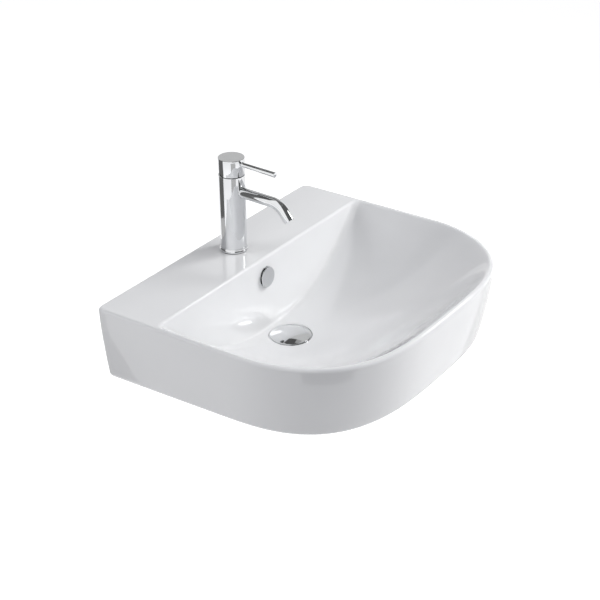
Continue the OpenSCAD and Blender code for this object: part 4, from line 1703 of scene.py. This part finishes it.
@dataclass
class Studio:
    """Camera, lamps, floor and the cards that the chrome reflects.

    A lamp has its direction in plan, anticlockwise from +X, and its rise, both in degrees, its
    width and height in metres and its power in watts. A card has the spans of plan and rise
    that it covers, its brightness and its distance in metres.
    """

    floor_z: float = -0.79
    floor_half: float = 12.0
    floor_grey: float = 0.6
    floor_glow: float = 0.86
    camera_spot: Triple = (-1.6702, -1.3511, 1.1076)
    azimuth: float = -54.99
    elevation: float = 28.42
    roll: float = -0.53
    lens: float = 87.78
    ambient: Triple = (0.128, 0.131, 0.153)
    lamp_aim: Triple = (0.0, -0.22, 0.05)
    lamp_reach: float = 2.1
    card_centre: Triple = (0.0, -0.1, 0.15)
    card_steps: int = 12

    def camera(self) -> None:
        """Sets the camera at the photograph's angle."""
        a, e, k = (math.radians(v) for v in (self.azimuth, self.elevation, self.roll))
        right = Vector((math.cos(a), math.sin(a), 0))
        back = Vector((math.sin(a) * math.cos(e), -math.cos(a) * math.cos(e), math.sin(e)))
        up = back.cross(right)
        across = right * math.cos(k) + up * math.sin(k)
        along = up * math.cos(k) - right * math.sin(k)
        made = bpy.data.objects.new("camera", bpy.data.cameras.new("camera"))
        bpy.context.scene.collection.objects.link(made)
        facing = Matrix((across, along, back)).transposed().to_4x4()
        made.matrix_world = Matrix.Translation(self.camera_spot) @ facing
        made.data.lens = self.lens
        made.data.sensor_width = 36.0
        made.data.clip_end = 50.0
        bpy.context.scene.camera = made

    @staticmethod
    def toward(plan: float, rise: float) -> Vector:
        """A direction from its plan angle and its rise."""
        a, e = math.radians(plan), math.radians(rise)
        return Vector((math.cos(a) * math.cos(e), math.sin(a) * math.cos(e), math.sin(e)))

    def lamp(self, name: str, plan: float, rise: float, size: Pair, power: float) -> None:
        """A soft box that faces the basin and shows in no reflection.

        Args:
            name: its name.
            plan: its direction in plan.
            rise: its height as an angle.
            size: its width and height.
            power: its power.
        """
        light = bpy.data.lights.new(name, "AREA")
        light.shape = "RECTANGLE"
        light.size, light.size_y = size
        light.energy = power
        made = bpy.data.objects.new(name, light)
        bpy.context.scene.collection.objects.link(made)
        away = self.toward(plan, rise)
        made.rotation_euler = (-away).to_track_quat("-Z", "Y").to_euler()
        made.location = Vector(self.lamp_aim) + away * self.lamp_reach
        made.visible_glossy = False

    def card(self, name: str, plans: Pair, rises: Pair, grey: float, reach: float = 1.1) -> None:
        """A curved card round the tap that shows only in reflections.

        Args:
            name: its name.
            plans: the directions in plan that it covers.
            rises: the angles above level that it covers.
            grey: its brightness.
            reach: its distance.
        """
        n = self.card_steps + 1
        spots = [Vector(self.card_centre) + self.toward(a, e) * reach
                 for a in np.linspace(*plans, n) for e in np.linspace(*rises, n)]
        faces = [(i * n + j, (i + 1) * n + j, (i + 1) * n + j + 1, i * n + j + 1)
                 for i in range(n - 1) for j in range(n - 1)]
        made = new_object(name, spots, faces)
        for ray in ("camera", "diffuse", "shadow", "transmission"):
            setattr(made, "visible_" + ray, False)
        paint = ShaderSheet(name)
        paint.tree.nodes.remove(paint.shader)
        glow = paint.node("ShaderNodeEmission", Color=(grey, grey, grey, 1))
        paint.feed(paint.tree.nodes["Material Output"], Surface=glow.outputs[0])
        made.data.materials.append(paint.material)

    def floor(self) -> None:
        """A pale floor that reads white to the camera and still takes a shadow."""
        s, z, grey = self.floor_half, self.floor_z, self.floor_grey
        made = new_object("floor", [(-s, -s, z), (s, -s, z), (s, s, z), (-s, s, z)],
                          [(0, 1, 2, 3)])
        paint = ShaderSheet("floor")
        paint.feed(paint.shader, Base_Color=(grey, grey, grey, 1), Roughness=0.9,
                   Emission_Color=(1, 1, 1, 1),
                   Emission_Strength=self.seen_directly(paint) * self.floor_glow)
        made.data.materials.append(paint.material)

    @staticmethod
    def seen_directly(sheet: Sheet) -> Wire:
        """One for rays from the camera, from a reflection or through clear matter, else zero.

        Args:
            sheet: the tree to add to.

        Returns:
            The number.
        """
        path = sheet.node("ShaderNodeLightPath")
        total = Wire(sheet, path.outputs["Is Camera Ray"])
        for kind in ("Is Glossy Ray", "Is Transmission Ray"):
            total = total.math("MAXIMUM", Wire(sheet, path.outputs[kind]))
        return total

    def world(self) -> None:
        """A dim, faintly blue room that reads white to the camera and in reflections."""
        world = bpy.data.worlds.new("room")
        bpy.context.scene.world = world
        world.use_nodes = True
        sheet = Sheet(world.node_tree)
        room = sheet.feed(sheet.tree.nodes["Background"], Color=(*self.ambient, 1), Strength=1.0)
        white = sheet.node("ShaderNodeBackground", Color=(1, 1, 1, 1))
        swap = sheet.node("ShaderNodeMixShader", Fac=self.seen_directly(sheet))
        sheet.join(room.outputs[0], swap.inputs[1])
        sheet.join(white.outputs[0], swap.inputs[2])
        sheet.feed(sheet.tree.nodes["World Output"], Surface=swap.outputs[0])

    def build(self) -> None:
        """Makes the studio."""
        bpy.context.scene.view_settings.view_transform = "Standard"
        self.camera()
        self.world()
        self.floor()
        for lamp in (("key", -26.0, 38.0, (0.5, 0.5), 18.5),
                     ("fill", -46.0, 33.0, (1.0, 1.4), 19.5),
                     ("front", -80.0, 38.0, (1.0, 1.0), 13.0),
                     ("left", 190.0, 22.0, (1.0, 1.0), 10.0),
                     ("rear", 124.0, 24.0, (1.2, 1.0), 16.5)):
            self.lamp(*lamp)
        for card in (("card_back", (86.0, 141.0), (-26.0, 46.0), 0.13),
                     ("card_back_low", (86.0, 141.0), (-45.0, -26.0), 0.5),
                     ("card_back_high", (18.0, 141.0), (46.0, 61.0), 0.09),
                     ("card_ceiling", (-138.0, 141.0), (61.0, 88.0), 0.14),
                     ("card_front", (-138.0, -8.0), (6.0, 61.0), 0.11),
                     ("card_front_low", (-150.0, -110.0), (-32.0, -12.0), 0.5),
                     ("card_right", (-8.0, 86.0), (8.0, 46.0), 0.56),
                     ("card_right_low", (-30.0, 70.0), (-62.0, -10.0), 1.0),
                     ("card_right_high", (-8.0, 18.0), (46.0, 61.0), 0.35),
                     ("card_soft_box", (-54.0, -41.0), (15.0, 26.0), 7.0, 1.0)):
            self.card(*card)


def dress_nodes() -> None:
    """Gives each CAD node that still shows its finish."""
    slots = {part["node"]: part["material_slot"] for part in frame["record"]["subparts"]}
    for name, node in frame["nodes"].items():
        finish = FINISHES[slots[name]].material()
        if not node.material_slots:
            node.data.materials.append(finish)
        for slot in node.material_slots:
            slot.material = finish
        LOG.info("%s: node, %s", name, slots[name])


def main() -> None:
    """Builds the studio and every sub-assembly in order."""
    logging.basicConfig(level=logging.INFO, format="%(message)s")
    Studio().build()
    for assembly in (CeramicBasin(), WallFixing(), OverflowCover(), WasteFitting(), PushPlug(),
                     MixerTap(), TapHandle(), DeckFixing()):
        assembly.build()
        LOG.info("%s done", type(assembly).__name__)
    dress_nodes()


if __name__ == "__main__":
    main()
